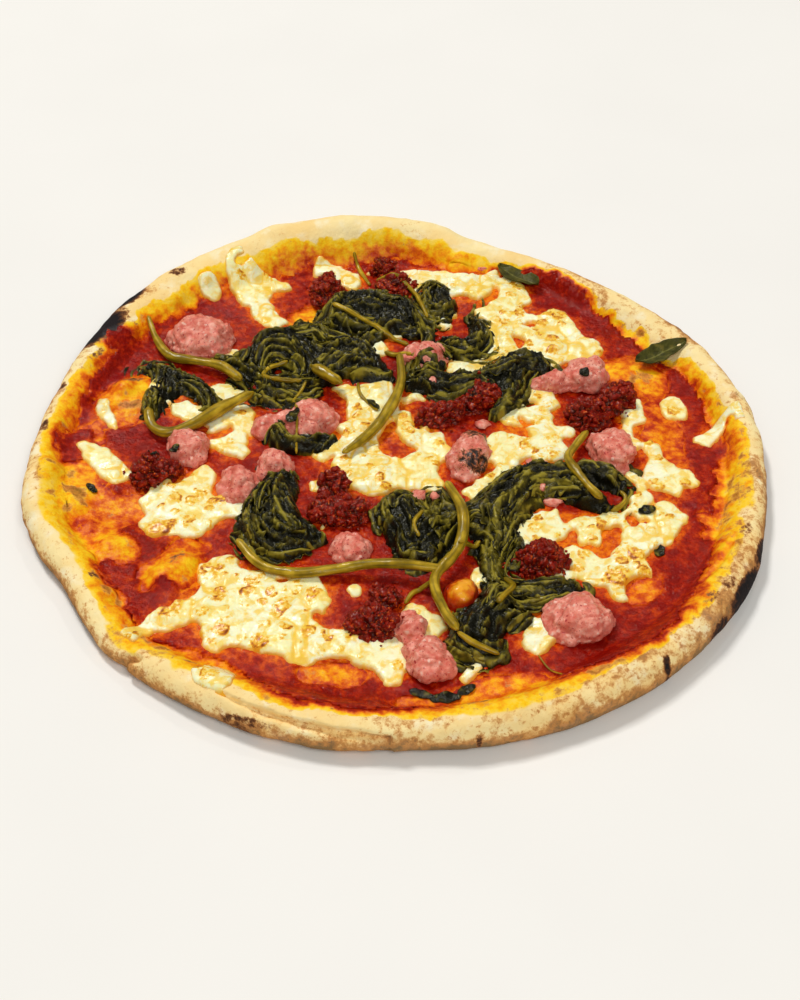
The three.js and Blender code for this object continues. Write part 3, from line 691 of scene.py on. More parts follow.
def stem_look():
    look = Look(
        "rabe_stem", Roughness=0.28, Specular_IOR_Level=0.2, Specular_Tint=(1, 0.95, 0.6, 1),
        Coat_Weight=0.2, Coat_Roughness=0.08,
        Subsurface_Weight=0.2, Subsurface_Radius=(0.002, 0.002, 0.0006), Subsurface_Scale=0.5,
    )
    olive = look.ramp(look.noise(7, 3), [(0.3, (122, 98, 8)), (0.5, (164, 132, 16)), (0.7, (204, 170, 44))])
    # painted shade: the grooves between the stem's ribs are painted darker
    look.feed(Base_Color=look.mix(look.range(look.mark("groove_shade"), 0.4, 1.0, 0, 0.6), olive, (82, 70, 12)))
    look.bump((look.noise(2.0, 3), 0.2))
    return look.material


def tomato_look():
    look = Look(
        "roast_tomato", Roughness=0.22, Specular_IOR_Level=0.25, Specular_Tint=(1, 0.7, 0.4, 1),
        Coat_Weight=0.6, Coat_Roughness=0.08,
    )
    top = look.frayed(look.mark("top"), look.noise(4, 4), MIDDLE, -0.2, 0.2)
    look.feed(Base_Color=look.ramp(top, [
        (0.25, (170, 34, 6)), (0.6, (208, 76, 8)), (0.85, (232, 128, 14)), (1.0, (246, 166, 34)),
    ]))
    look.bump((look.noise(2.5, 4), 0.4))
    return look.material


def basil_look():
    look = Look("basil_leaf", Roughness=0.4, Specular_IOR_Level=0.25, Specular_Tint=(0.95, 0.9, 0.5, 1))
    green = look.ramp(look.noise(4, 4), [(0.3, (44, 42, 12)), (0.55, (72, 70, 24)), (0.75, (112, 96, 36))])
    look.feed(Base_Color=look.mix(look.range(look.mark("fold"), 0.5, 1.0, 0, 0.7), green, (128, 122, 54)))
    look.bump((look.noise(1.2, 3), 0.3))
    return look.material


def floor_look():
    look = Look("pale_floor", Roughness=0.9, Specular_IOR_Level=0.1)
    look.feed(Base_Color=look.mix(look.range(look.noise(90, 2), 0.2, 0.8), (246, 243, 236), (244, 241, 234)))
    return look.material


# --- the dough --------------------------------------------------------------------------------------

ROUND = 800  # steps round the crust
HEADINGS = np.arange(ROUND) * TAU / ROUND
RIM_RADIUS = 160  # about
AROUND = dict(step=TAU * RIM_RADIUS / ROUND, axes=(0,), edge="wrap")  # to blur along the rim
FAR = 250  # a radius beyond the rim
RIM_RINGS = 58
BED_RINGS = 30
BED_FINE = 48.0  # width of the finely made bed beside the rim
CENTRE_RINGS = np.array([0.85, 0.6, 0.3, 0.08])  # rings of the bed inside that, as shares of its radius
UNDER_RINGS = np.array([0.3, 0.7, 0.93])  # rings of the underside, as shares of the foot's radius
CORE_INSET = 10.0  # where the rim's section is measured from, in from its outside
CORE_HEIGHT = 3.0
CLIMBS = np.radians(np.linspace(-84, 160, 150))  # from there to the foot, then round the outside to the bed
OUTER_LEVEL = 5.5


def rim_outline(tree):
    """The crust's radius at each heading."""
    found = []
    for c, s in zip(np.cos(HEADINGS).tolist(), np.sin(HEADINGS).tolist()):
        found.append(FAR - tree.ray_cast((FAR * c, FAR * s, OUTER_LEVEL), (-c, -s, 0))[3])
    return np.array(found)


def rim_section(tree, core):
    """Radius and height of the rim at each heading, in even steps from its foot round to the bed."""
    reach = np.empty((ROUND, len(CLIMBS)))
    for i, (angle, r) in enumerate(zip(HEADINGS.tolist(), core.tolist())):
        c, s = math.cos(angle), math.sin(angle)
        for k, climb in enumerate(CLIMBS.tolist()):
            out = math.cos(climb)
            reach[i, k] = tree.ray_cast((r * c, r * s, CORE_HEIGHT), (out * c, out * s, math.sin(climb)))[3]
    reach = blur(blur(reach, 6, **AROUND), 13, step=math.degrees(CLIMBS[1] - CLIMBS[0]), axes=(1,))
    r = core[:, None] + reach * np.cos(CLIMBS)
    z = CORE_HEIGHT + reach * np.sin(CLIMBS)
    z -= z[:, :1]
    length = np.concatenate([[0], np.cumsum(np.hypot(np.diff(r.mean(0)), np.diff(z.mean(0))))])
    even = np.interp(np.linspace(0, length[-1], RIM_RINGS), length, np.arange(len(CLIMBS)))
    low = np.minimum(even.astype(int), len(CLIMBS) - 2)
    share = even - low
    return lerp(r[:, low], r[:, low + 1], share), lerp(z[:, low], z[:, low + 1], share)


def crust_points():
    """The plain crust as [heading, ring, xyz], from its underside round to its top, and its outer radii."""
    tree = tree_of(*node_arrays("crust"))
    outer = blur(rim_outline(tree), 5, **AROUND)
    r, z = rim_section(tree, outer - CORE_INSET)
    out = np.stack([np.cos(HEADINGS), np.sin(HEADINGS)], -1)[:, None]
    under = r[:, :1] * UNDER_RINGS
    fine = r[:, -1:] - np.linspace(0, BED_FINE, BED_RINGS + 1)[1:]
    bed = np.concatenate([fine, fine[:, -1:] * CENTRE_RINGS], 1)
    places = bed[..., None] * out
    bed_height = blur(drop(tree, places.reshape(-1, 2)).reshape(bed.shape), 4, **AROUND)
    r = np.concatenate([under, r, bed], 1)
    z = np.concatenate([np.zeros(under.shape), z, bed_height], 1)
    return np.concatenate([r[..., None] * out, z[..., None]], -1), outer


def grid_normals(points):
    """Outward directions of points laid out as [heading, ring]."""
    ahead = np.roll(points, -1, 0) - np.roll(points, 1, 0)
    inward = np.gradient(points, axis=1)
    normal = np.cross(ahead, inward)
    return normal / np.maximum(np.linalg.norm(normal, axis=-1, keepdims=True), 1e-9)


def stain_at(xy, inward):
    """How far the sauce colours the dough: 0 bare, 0.3 yellow, 0.65 orange, 1 under red sauce."""
    wobble = 3.0 * fractal(xy, 22, 3, 3) + 2.2 * fractal(xy, 6, 3, 7) + 1.1 * fractal(xy, 2.6, 2, 12)
    bare, red = by_heading(TAN_WIDTH, xy), by_heading(RED_START, xy)
    share = (inward + wobble - bare) / (red - bare)
    stain = 0.3 * smooth(share, -0.3, 0.15) + 0.4 * smooth(share, 0.1, 1.0) + 0.3 * smooth(share, 0.9, 1.35)
    for x, y, long, wide, turn, level in THIN_SAUCE:
        out = reach_of(xy, x, y, long, wide, turn) + 0.3 * fractal(xy, 9, 3, 9)
        stain = np.where(stain > level, lerp(stain, level, smooth(out, 1.3, 0.55)), stain)
    for x, y, long, wide, turn, level in STAINED:
        out = reach_of(xy, x, y, long, wide, turn) + 0.7 * fractal(xy, 7, 3, 10)
        stain = lerp(stain, level, smooth(out, 1.3, 0.5))
    mottled = smooth(stain, 0.15, 0.3) * smooth(stain, 0.9, 0.6)
    return stain + 0.2 * fractal(xy, 8, 3, 14) * mottled


def crust_relief(points, inward):
    """How far the baked surface stands out from the plain crust."""
    xy = points[..., :2]
    on_top = smooth(points[..., 2], 1.0, 5.0)
    relief = 1.2 * fractal(points, 38, 2, 21) + 0.8 * fractal(points, 13, 3, 25)
    relief += 0.14 * fractal(points, 3.2, 2, 31)
    gap, _, _ = grains(points, 11, 41)
    relief += 0.5 * (0.5 - gap) * smooth(inward, 9, 14)
    for x, y, radius, rise in PUFFS:
        relief += rise * bell(reach_of(xy, x, y, radius, radius, 0)) * on_top
    for path, depth, half in CREASES:
        away = path_distance(xy, path) + 0.5 * noise(xy, 4, 51)
        relief += on_top * (0.45 * depth * bell(away / (5 * half)) - 1.45 * depth * bell(away / half))
    return relief


def scorch_at(xy):
    """How scorched the dough is."""
    scorch = np.zeros(xy.shape[:-1])
    for x, y, long, wide, turn, level in SCORCHES:
        scorch = np.maximum(scorch, level * smooth(reach_of(xy, x, y, long, wide, turn), 1.35, 0.45))
    return scorch


def toast_at(points, inward, stain):
    """How toasted the dough is above its underside, with painted shade added low on the outer wall."""
    xy, height = points[..., :2], points[..., 2]
    # partly real toasting and partly painted shade: the foot of the outer wall is painted browner
    low_wall_toast_and_shade = smooth(height, 13, 1.5) * smooth(inward, 9, 3)
    toast_and_wall_shade = (0.6 + 0.35 * fractal(points, 16, 3, 63)) * low_wall_toast_and_shade
    toast_and_wall_shade += by_heading(TOASTED, xy) * smooth(stain, 0.5, 0.1)
    toast_and_wall_shade += 0.22 * smooth(fractal(points, 15, 3, 61), -0.1, 0.6) * smooth(height, 3, 9)
    spots = 0.6 * smooth(fractal(points, 6, 3, 65), 0.0, 0.6)
    return toast_and_wall_shade + spots * smooth(stain, 0.2, 0.4) * smooth(stain, 0.8, 0.5) * smooth(xy[..., 1], 115, 70)


def crust_faces(rings):
    """Faces over [heading, ring] points and two more, the middles of the underside and the bed."""
    index = np.arange(ROUND * rings).reshape(ROUND, rings)
    after = np.roll(index, -1, 0)
    quads = np.stack([index[:, :-1], after[:, :-1], after[:, 1:], index[:, 1:]], -1).reshape(-1, 4)
    under = np.stack([np.full(ROUND, ROUND * rings), after[:, 0], index[:, 0]], -1)
    over = np.stack([index[:, -1], after[:, -1], np.full(ROUND, ROUND * rings + 1)], -1)
    return quads, under, over


UNDERSIDE_TOAST = 0.4


def make_crust():
    """The crust. Gives its upper surface for rays, and its outer radii."""
    points, outer = crust_points()
    underside = points[..., 2] <= 0.01
    distance = np.hypot(points[..., 0], points[..., 1])
    inward = outer[:, None] - distance
    relief = crust_relief(points, inward) * smooth(points[..., 2], 0.2, 2.5) * smooth(distance, 2, 30)
    points = points + grid_normals(points) * relief[..., None]
    points[..., 2] = np.maximum(points[..., 2], 0)
    xy = points[..., :2]
    stain = stain_at(xy, inward + 0.25 * (points[..., 2] - 10) * smooth(inward, 4, 8))
    stain *= smooth(inward, 1.5, 5)
    toast_and_wall_shade = np.where(underside, UNDERSIDE_TOAST, toast_at(points, inward, stain))
    fields = {"stain": stain, "scorch": scorch_at(xy), "toast_and_wall_shade": toast_and_wall_shade}
    marks = {name: np.concatenate([field.ravel(), [0, 1]]) for name, field in fields.items()}
    middles = np.array([[0, 0, 0], [0, 0, points[:, -1, 2].mean()]])
    corners = np.concatenate([points.reshape(-1, 3), middles])
    quads, under, over = crust_faces(points.shape[1])
    make_piece("crust_baked", corners, [quads, under, over], dough_look(), ["crust"], marks)
    return tree_of(corners, np.concatenate([quads[:, :3], quads[:, [0, 2, 3]], over])), outer


# --- sauce and mozzarella ---------------------------------------------------------------------------

def inside_crust(outer):
    """How far in from the crust's outside each grid place is."""
    heading = np.arctan2(GRID[..., 1], GRID[..., 0]) % TAU
    edge = np.interp(heading, np.arange(ROUND + 1) * TAU / ROUND, np.append(outer, outer[0]))
    return edge - np.hypot(GRID[..., 0], GRID[..., 1])


def grid_drop(tree, wanted):
    """Height of a surface over the wanted places of the grid, and the bed's elsewhere."""
    heights = np.full(GRID.shape[:2], BED_TOP)
    heights[wanted] = np.nan_to_num(drop(tree, GRID[wanted]), nan=0.0)
    return heights


def sauce_layer(dough, inward):
    """Height of the sauce over the grid and its thickness."""
    stain = stain_at(GRID, inward)
    wet = smooth(stain, 0.7, 1.0)
    pulp, _, _ = grains(GRID, 3.6, 71)
    thick = lerp(-0.9, 0.75, wet) + 0.35 * fractal(GRID, 6, 3, 75) * wet + 0.45 * (0.55 - pulp) * wet
    return blur(dough, 1.2) + thick, thick, stain


def cheese_cover(covered, inward):
    """Share of cheese over the grid, running on under what lies in it."""
    warp = GRID + np.stack([2.2 * noise(GRID, 8, k) + 1.3 * noise(GRID, 3.2, k + 5) for k in (81, 82)], -1)
    cheese = sample((~np.isnan(height_over(names_of("mozzarella")))).astype(float), warp)
    for place in SMALL_CHEESE:
        cheese = np.maximum(cheese, smooth(reach_of(warp, *place), 1.1, 0.85))
    open_ground = 1 - covered * (1 - cheese)
    for place in CHEESE_HOLES:
        cheese *= smooth(reach_of(warp, *place), 0.8, 1.1)
    spread = blur(cheese, 3.0) / np.maximum(blur(open_ground, 3.0), 0.02)
    cheese = np.where(covered > 0.5, np.maximum(cheese, smooth(spread, 0.45, 0.75)), cheese)
    soft = blur(cheese, 1.1) * smooth(inward, 3.5, 6.5)
    return soft + 0.3 * fractal(GRID, 3.6, 3, 85) * smooth(soft, 0.03, 0.3) * smooth(soft, 1.0, 0.6)


# Blisters that stand out in the cheese: x, y, radius, brownness.
BLISTERS = [
    (-100, -48, 6, 0.9), (96, -64, 4, 0.9), (88, -77, 6, 0.8), (98, -75, 4, 0.9), (109, 3, 3.5, 0.8),
    (112, -6, 2.5, 0.8), (121, -23, 3, 0.8), (-74, 118, 3, 0.7), (-61, 121, 3.5, 0.7),
    (-77, -124, 6, 0.8), (-72, -132, 4, 0.7), (122, 25, 4, 0.7), (-90, -93, 5, 0.8), (-60, -84, 4, 0.9),
    (-7, -138, 6, 0.7), (-12, -12, 3, 0.6), (-8, -19, 3, 0.9), (4, 14, 5, 0.5), (-70, -104, 4, 0.9),
    (-46, -92, 4, 0.8), (-54, -110, 4.5, 0.8), (-82, -108, 3.5, 0.8), (-36, -106, 4, 0.8),
    (-66, -118, 3.5, 0.9), (88, 78, 4, 0.7), (76, 92, 3.5, 0.8), (60, 100, 3.5, 0.7), (92, 64, 3, 0.8),
    (40, 18, 3.5, 0.6), (68, 6, 4, 0.5), (84, -6, 3.5, 0.6), (-94, -30, 3.5, 0.7), (-108, -58, 3, 0.7),
]


# Where the cheese has most of its small blisters: x, y, half length, half width.
BLISTERED = [
    (-64, -92, 46, 34), (92, -62, 34, 34), (70, 88, 34, 34), (0, 0, 60, 30), (-90, -35, 22, 18),
    (50, 0, 34, 26),
]
BLISTER_TRIES = 700


def blister_spots(share):
    """All blisters, the small ones drawn by chance: x, y, radius, brownness."""
    spots = [(x + SHIFT[0], y + SHIFT[1], radius, brown) for x, y, radius, brown in BLISTERS]
    places = np.argwhere(share > 0.8)
    for i, j in places[rng.choice(len(places), BLISTER_TRIES, replace=False)]:
        x, y = GRID[i, j]
        weight = max(1 - math.hypot((x - a) / (1.3 * b), (y - c) / (1.3 * d)) for a, c, b, d in BLISTERED)
        radius = rng.uniform(1.0, 3.4)
        strength = 0.35 + 0.6 * rng.random() ** 1.5
        if rng.random() < 0.25 + 0.75 * weight:
            spots.append((x, y, radius, strength))
    return spots


def blisters(share):
    """Golden blisters in the cheese: how brown and how high they are over the grid."""
    gold = np.zeros(GRID.shape[:2])
    rise = np.zeros(GRID.shape[:2])
    warp = GRID + np.stack([0.9 * noise(GRID, 3, seed) for seed in (91, 92)], -1)
    for x, y, radius, strength in blister_spots(share):
        i, j = np.rint((np.array([x, y]) - GRID[0, 0]) / STEP).astype(int)
        n = int(radius * 1.6 / STEP) + 2
        part = np.s_[max(i - n, 0):i + n + 1, max(j - n, 0):j + n + 1]
        away = warp[part] - [x, y]
        out = np.hypot(away[..., 0], away[..., 1]) / radius
        turn = 2.4 * (x + y)
        side = away[..., 0] * math.cos(turn) + away[..., 1] * math.sin(turn)
        shaded = 0.5 + 0.5 * side / (radius * np.maximum(out, 0.3))
        ring = np.exp(-((out - 0.76) / 0.2) ** 2) * smooth(shaded, 0.15, 0.95)
        brown = np.maximum(0.95 * ring, 0.52 * smooth(out, 1.2, 0.5))
        gold[part] = np.maximum(gold[part], strength * brown)
        rise[part] = np.maximum(rise[part], 0.5 * smooth(out, 1.1, 0.5) - 0.25 * smooth(out, 0.6, 0.2))
    return gold, rise


def make_sauce(dough, sauce, thick, stain, cheese_share, inward):
    """The sauce, on every second place of the grid."""
    hidden = blur((cheese_share > 0.7).astype(float), 1.5) > 0.97
    keep = (thick > -0.6) & ~hidden & (inward > 5)
    oily = smooth(blur(cheese_share, 4.5), 0.05, 0.6)
    watery = 0.3 * (0.5 + 0.6 * fractal(GRID, 26, 3, 77))
    thin = np.minimum(smooth(stain, 1.0, 0.76) + 0.55 * oily + watery, 1)
    grid, top, bottom, keep, thin = (field[::2, ::2] for field in (GRID, sauce, dough - 1.0, keep, thin))
    points, faces, marks = slab(grid, top, bottom, keep, {"thin": thin})
    make_piece("sauce", points, faces, sauce_look(), marks=marks)


def make_cheese(ground, share):
    """The mozzarella. Gives the height of the ground with it on."""
    body = blur(share, 5)
    lumps, curds = np.abs(noise(GRID, 7.5, 96)), np.abs(noise(GRID, 3.4, 97))
    lively = smooth(fractal(GRID, 20, 2, 94), -0.25, 0.3)
    wrinkles = (1.6 * (lumps - 0.3) + 0.7 * (curds - 0.3)) * (0.35 + 0.65 * lively)
    # where painted shade goes: the low places between the lumps
    valley_shade_share = np.maximum(smooth(lumps, 0.22, 0.02), 0.6 * smooth(curds, 0.16, 0.0)) * lively
    full = 0.6 + 1.3 * body + 0.4 * fractal(GRID, 10, 2, 95) + wrinkles + 0.14 * fractal(GRID, 2.2, 2, 98)
    gold, rise = blisters(share)
    profile = smooth(share, 0.2, 0.85)
    top = blur(ground, 1.8) + lerp(-1.1, full, profile) + rise * profile
    fields = {"gold": gold, "thin": smooth(share, 0.95, 0.45), "valley_shade": valley_shade_share}
    points, faces, marks = slab(GRID, top, ground - 1.6, share > 0.18, fields)
    make_piece("mozzarella_melted", points, faces, cheese_look(), names_of("mozzarella"), marks)
    return np.where(share > 0.4, np.maximum(ground, top), ground)


# --- sausage ----------------------------------------------------------------------------------------

def ground_meat(name, voxel, chunk, grain, seed):
    """A lump of meat from its CAD body. `chunk` and `grain` are the size and relief of its texture."""
    points, faces, normals = remeshed(name, voxel)
    bent = points + 0.25 * chunk[0] * np.stack([noise(points, chunk[0], seed + 60 + k) for k in range(3)], -1)
    _, border, level = grains(bent, chunk[0], seed)
    relief = chunk[1] * ((level - 0.45) * smooth(border, 0, 0.4) - 0.7 * smooth(border, 0.22, 0))
    small, edge, value = grains(points, grain[0], seed + 20)
    grained = grain[1] * (0.6 - small + 0.5 * (value - 0.5) * smooth(edge, 0, 0.3))
    relief += grained + 0.12 * noise(points, 0.9, seed + 30)
    relief += 2.4 * fractal(points, 12, 2, seed + 40) + 1.5 * fractal(points, 4.5, 3, seed + 50)
    points = points + normals * (relief * smooth(points[:, 2], BED_TOP - 1, BED_TOP + 2))[:, None]
    # painted shade: darker in the grooves between the grains and between the chunks
    painted_shade = 0.5 * smooth(edge, 0.3, 0) + 0.7 * smooth(border, 0.2, 0)
    return points, faces, {"painted_shade": painted_shade, "fat": value * smooth(edge, 0.1, 0.5)}


# Scorched tops of the pink sausage: x, y, half length, half width.
SCORCHED_MEAT = [(34, 4, 7, 6), (33, -13, 9, 6), (82, -98, 4, 3)]


def make_sausage():
    parts = []
    for k, name in enumerate(names_of("sausage")):
        points, faces, marks = ground_meat(name, 0.75, (9, 0.9), (1.9, 0.5), 110 + k)
        scorch = np.zeros(len(points))
        for x, y, long, wide in SCORCHED_MEAT:
            scorch = np.maximum(scorch, smooth(reach_of(points[:, :2], x, y, long, wide, 0), 1.2, 0.5))
        parts.append((points, faces, {**marks, "scorch": 0.6 * scorch}))
    points, faces, marks = together(parts)
    make_piece("sausage_lumps", points, faces, sausage_look(), names_of("sausage"), marks)


def make_spicy():
    names = names_of("spicy_sausage")
    parts = []
    for k, name in enumerate(names):
        points, faces, marks = ground_meat(name, 0.65, (3.8, 2.4), (1.5, 0.9), 150 + k)
        scorch = 0.8 * smooth(fractal(points, 7, 2, 171), 0.1, 0.7) * smooth(points[:, 2], 8, 12)
        parts.append((points, faces, {**marks, "scorch": scorch}))
    points, faces, marks = together(parts)
    make_piece("spicy_sausage_crumble", points, faces, spicy_look(), names, marks)


# --- broccoli rabe ----------------------------------------------------------------------------------

LEAF_STEP = 0.57  # of the grid on which the bunches are made
LEAF_HALF = HALF - 2  # half its side


class Flow:
    """Which way the leaves run at each place, with no difference between ahead and back."""

    def __init__(self, cover):
        gx, gy = np.gradient(blur(cover, 2.6), STEP)
        self.tensor = [blur(f, 4.5) for f in (gx * gx, gx * gy, gy * gy)]
        self.twist = 0.5 * fractal(GRID, 16, 2, 201)

    def __call__(self, xy):
        xx, cross, yy = (sample(f, xy) for f in self.tensor)
        angle = 0.5 * np.arctan2(2 * cross, xx - yy) + math.pi / 2 + sample(self.twist, xy)
        return np.stack([np.cos(angle), np.sin(angle)], -1)


def streaks(xy, flow, size, reach, seed):
    """Noise drawn out along the flow."""
    total = noise(xy, size, seed)
    count = 1
    for sign in (1, -1):
        place = xy
        ahead = sign * flow(xy)
        for _ in range(int(reach / (0.5 * size))):
            place = place + 0.5 * size * ahead
            turned = flow(place)
            ahead = turned * np.where((turned * ahead).sum(-1) < 0, -1, 1)[..., None]
            total = total + noise(place, size, seed)
            count += 1
    return total / math.sqrt(count)


def folds(xy, flow):
    """Relief of crumpled leaf, in millimetres, and how near each place is to the top of a fold, whose tops
    are painted lighter and whose valleys are painted darker.
    """
    wide = streaks(xy, flow, 4.2, 11, 211)
    fine = streaks(xy, flow, 1.6, 6, 215)
    ridge = 1 - np.minimum(np.abs(fine) * 1.9, 1)
    broad = 1 - np.minimum(np.abs(wide) * 1.5, 1)
    crinkle = fractal(xy, 2.0, 2, 219)
    relief = 3.2 * (broad - 0.5) + 1.5 * (ridge - 0.5) + 0.6 * crinkle
    return relief, np.clip(0.6 * ridge + 0.35 * broad + 0.3 * crinkle, 0, 1)


def make_leaf_mass(ground):
    """The bunches of leaf. Gives the way the leaves run and their share over the grid."""
    names = names_of("rabe_leaf")
    heights = height_over(names)
    for place in LEAF_SPREAD:
        heights[(reach_of(GRID, *place) < 1) & np.isnan(heights)] = LEAF_SPREAD_HEIGHT
    cover = (~np.isnan(heights)).astype(float)
    tall = blur(np.where(cover > 0, np.nan_to_num(heights), 0), 1.3) / np.maximum(blur(cover, 1.3), 0.05)
    flow = Flow(cover)
    share = blur(cover, 1.1)
    line = np.arange(-LEAF_HALF, LEAF_HALF, LEAF_STEP)
    places = np.stack(np.meshgrid(line, line, indexing="ij"), -1)
    near = sample(share, places) > 0.02
    rows, columns = np.nonzero(near.any(1))[0], np.nonzero(near.any(0))[0]
    part = np.s_[rows[0] - 2:rows[-1] + 3, columns[0] - 2:columns[-1] + 3]
    places, near = places[part], near[part]
    relief, lit_crest = np.zeros(near.shape), np.zeros(near.shape)
    relief[near], lit_crest[near] = folds(places[near], flow)
    edge = sample(share, places) + 0.4 * fractal(places, 3.4, 3, 223) * near
    profile = smooth(edge, 0.3, 0.75)
    under = sample(ground, places)
    high = np.maximum(sample(tall, places) - under, 2.0) * 0.86 + 0.6
    top = under + lerp(-1.2, high, profile) + relief * profile
    top = np.maximum(top, under - 1.2)
    # the fold mark carries painted light on the fold tops and painted shade in the valleys
    points, faces, marks = slab(places, top, under - 1.5, edge > 0.27, {"fold": lit_crest})
    make_piece("rabe_leaf_mass", points, faces, leaf_look(), names, marks)
    return flow, share


def curve_through(points, step):
    """A smooth line through points, about `step` apart. Extra columns are carried along."""
    points = np.array(points, float)
    padded = np.concatenate([[2 * points[0] - points[1]], points, [2 * points[-1] - points[-2]]])
    line = []
    for a, b, c, d in zip(padded, padded[1:], padded[2:], padded[3:]):
        count = max(2, int(np.linalg.norm(c[:2] - b[:2]) / step))
        t = (np.arange(count) / count)[:, None]
        line.append(b + 0.5 * t * (c - a + t * (2 * a - 5 * b + 4 * c - d + t * (3 * (b - c) + d - a))))
    return np.concatenate([*line, [points[-1]]])


def tube(line, sides, seed):
    """A stem along a line of x, y, z, radius: ribbed, uneven and closed at its ends."""
    middle, radius = line[:, :3], line[:, 3]
    ahead = np.gradient(middle, axis=0)
    ahead /= np.linalg.norm(ahead, axis=1, keepdims=True)
    across = np.cross([0, 0, 1], ahead)
    across /= np.linalg.norm(across, axis=1, keepdims=True)
    up = np.cross(ahead, across)
    turn = np.arange(sides) * TAU / sides
    length = np.concatenate([[0], np.cumsum(np.linalg.norm(np.diff(middle, axis=0), axis=1))])
    twist = turn[None] + 0.04 * length[:, None] + seed
    rib = 0.5 + 0.5 * np.cos(5 * twist)
    swell = 1 + 0.14 * noise(np.column_stack([length, np.full(len(length), seed * 7.0)]), 6, 231)
    taper = np.sin(np.clip(np.minimum(length, length[-1] - length) / (1.2 * radius), 0, 1) * math.pi / 2)
    size = radius[:, None] * swell[:, None] * np.maximum(taper, 0.35)[:, None] * (0.9 + 0.13 * rib)
    sideways = np.cos(turn)[None, :, None] * across[:, None]
    upward = 0.85 * np.sin(turn)[None, :, None] * up[:, None]
    rings = middle[:, None] + size[..., None] * (sideways + upward)
    count = len(line)
    index = np.arange(count * sides).reshape(count, sides)
    after = np.roll(index, -1, 1)
    quads = np.stack([index[:-1], after[:-1], after[1:], index[1:]], -1).reshape(-1, 4)
    points = np.concatenate([rings.reshape(-1, 3), middle[:1], middle[-1:]])
    start, end = count * sides, count * sides + 1
    caps = [
        np.stack([np.full(sides, start), after[0], index[0], index[0]], -1),
        np.stack([np.full(sides, end), index[-1], after[-1], after[-1]], -1),
    ]
    # painted shade in the grooves between the ribs and at the middles of the ends
    groove_shade = np.concatenate([(1 - rib).ravel(), [1, 1]])
    return points, np.concatenate([quads, *caps]), {"groove_shade": groove_shade}


def make_tubes(name, parts, replaced=()):
    """One piece of tubes. The faces that close their ends say their last corner twice."""
    points, faces, marks = together(parts)
    closing = faces[:, 2] == faces[:, 3]
    groups = [faces[~closing], faces[closing][:, :3]]
    make_piece(name, points, groups, stem_look(), replaced, marks)


def make_stems():
    parts = []
    for k, path in enumerate(STEMS):
        line = curve_through(path, 1.0)
        line[:, :2] += SHIFT
        parts.append(tube(line, 14, k))
    make_tubes("rabe_stems", parts, names_of("rabe_stem"))


# --- leaf blades and small things -------------------------------------------------------------------

BLADE_STEPS = 26
BLADE_ACROSS = 13
BLADE_THICKNESS = 0.35
BLADES = 64  # in the bunches, and as many again round them


def spread(middle, across, half, share):
    """Places over a blade, from its middle line out sideways by shares from -1 to 1 of its half widths."""
    return middle[:, None] + across[:, None] * (half * share)[..., None]


def sheet(places, top, thickness, fields):
    """A closed thin blade under the height of its top at each place: points, faces and the fields' marks."""
    rows, columns = top.shape
    count = rows * columns
    lean = np.stack([-np.gradient(top, axis=0), -np.gradient(top, axis=1)], -1)
    steep = np.sqrt(1 + np.minimum((lean**2).sum(-1), 4))
    points = np.concatenate([
        np.concatenate([places, top[..., None]], -1).reshape(-1, 3),
        np.concatenate([places, (top - thickness * steep)[..., None]], -1).reshape(-1, 3),
    ])
    index = np.arange(count).reshape(rows, columns)
    quads = np.stack([index[:-1, :-1], index[1:, :-1], index[1:, 1:], index[:-1, 1:]], -1).reshape(-1, 4)
    border = np.concatenate([index[:-1, 0], index[-1, :-1], index[:0:-1, -1], index[0, :0:-1]])
    after = np.roll(border, -1)
    rim = np.stack([border, after, after + count, border + count], -1)
    faces = np.concatenate([quads, quads[:, ::-1] + count, rim[:, ::-1]])
    a, b, c = (points[faces[len(quads) // 2, k]] for k in range(3))
    if np.cross(b - a, c - b)[2] < 0:
        faces = faces[:, ::-1]
    return points, faces, {name: np.tile(field.ravel(), 2) for name, field in fields.items()}


def wander(start, flow, length):
    """A line in the plane that follows the flow and bends a little to one side."""
    line = [np.array(start)]
    curve = rng.uniform(-0.05, 0.05)
    ahead = flow(line[0]) * rng.choice([-1, 1])
    step = length / BLADE_STEPS
    for _ in range(BLADE_STEPS - 1):
        line.append(line[-1] + step * ahead)
        turned = flow(line[-1])
        turned = turned * (1 if turned @ ahead > 0 else -1)
        ahead = 0.6 * ahead + 0.4 * turned
        ahead = ahead + curve * np.array([-ahead[1], ahead[0]])
        ahead = ahead / np.linalg.norm(ahead)
    return np.array(line)


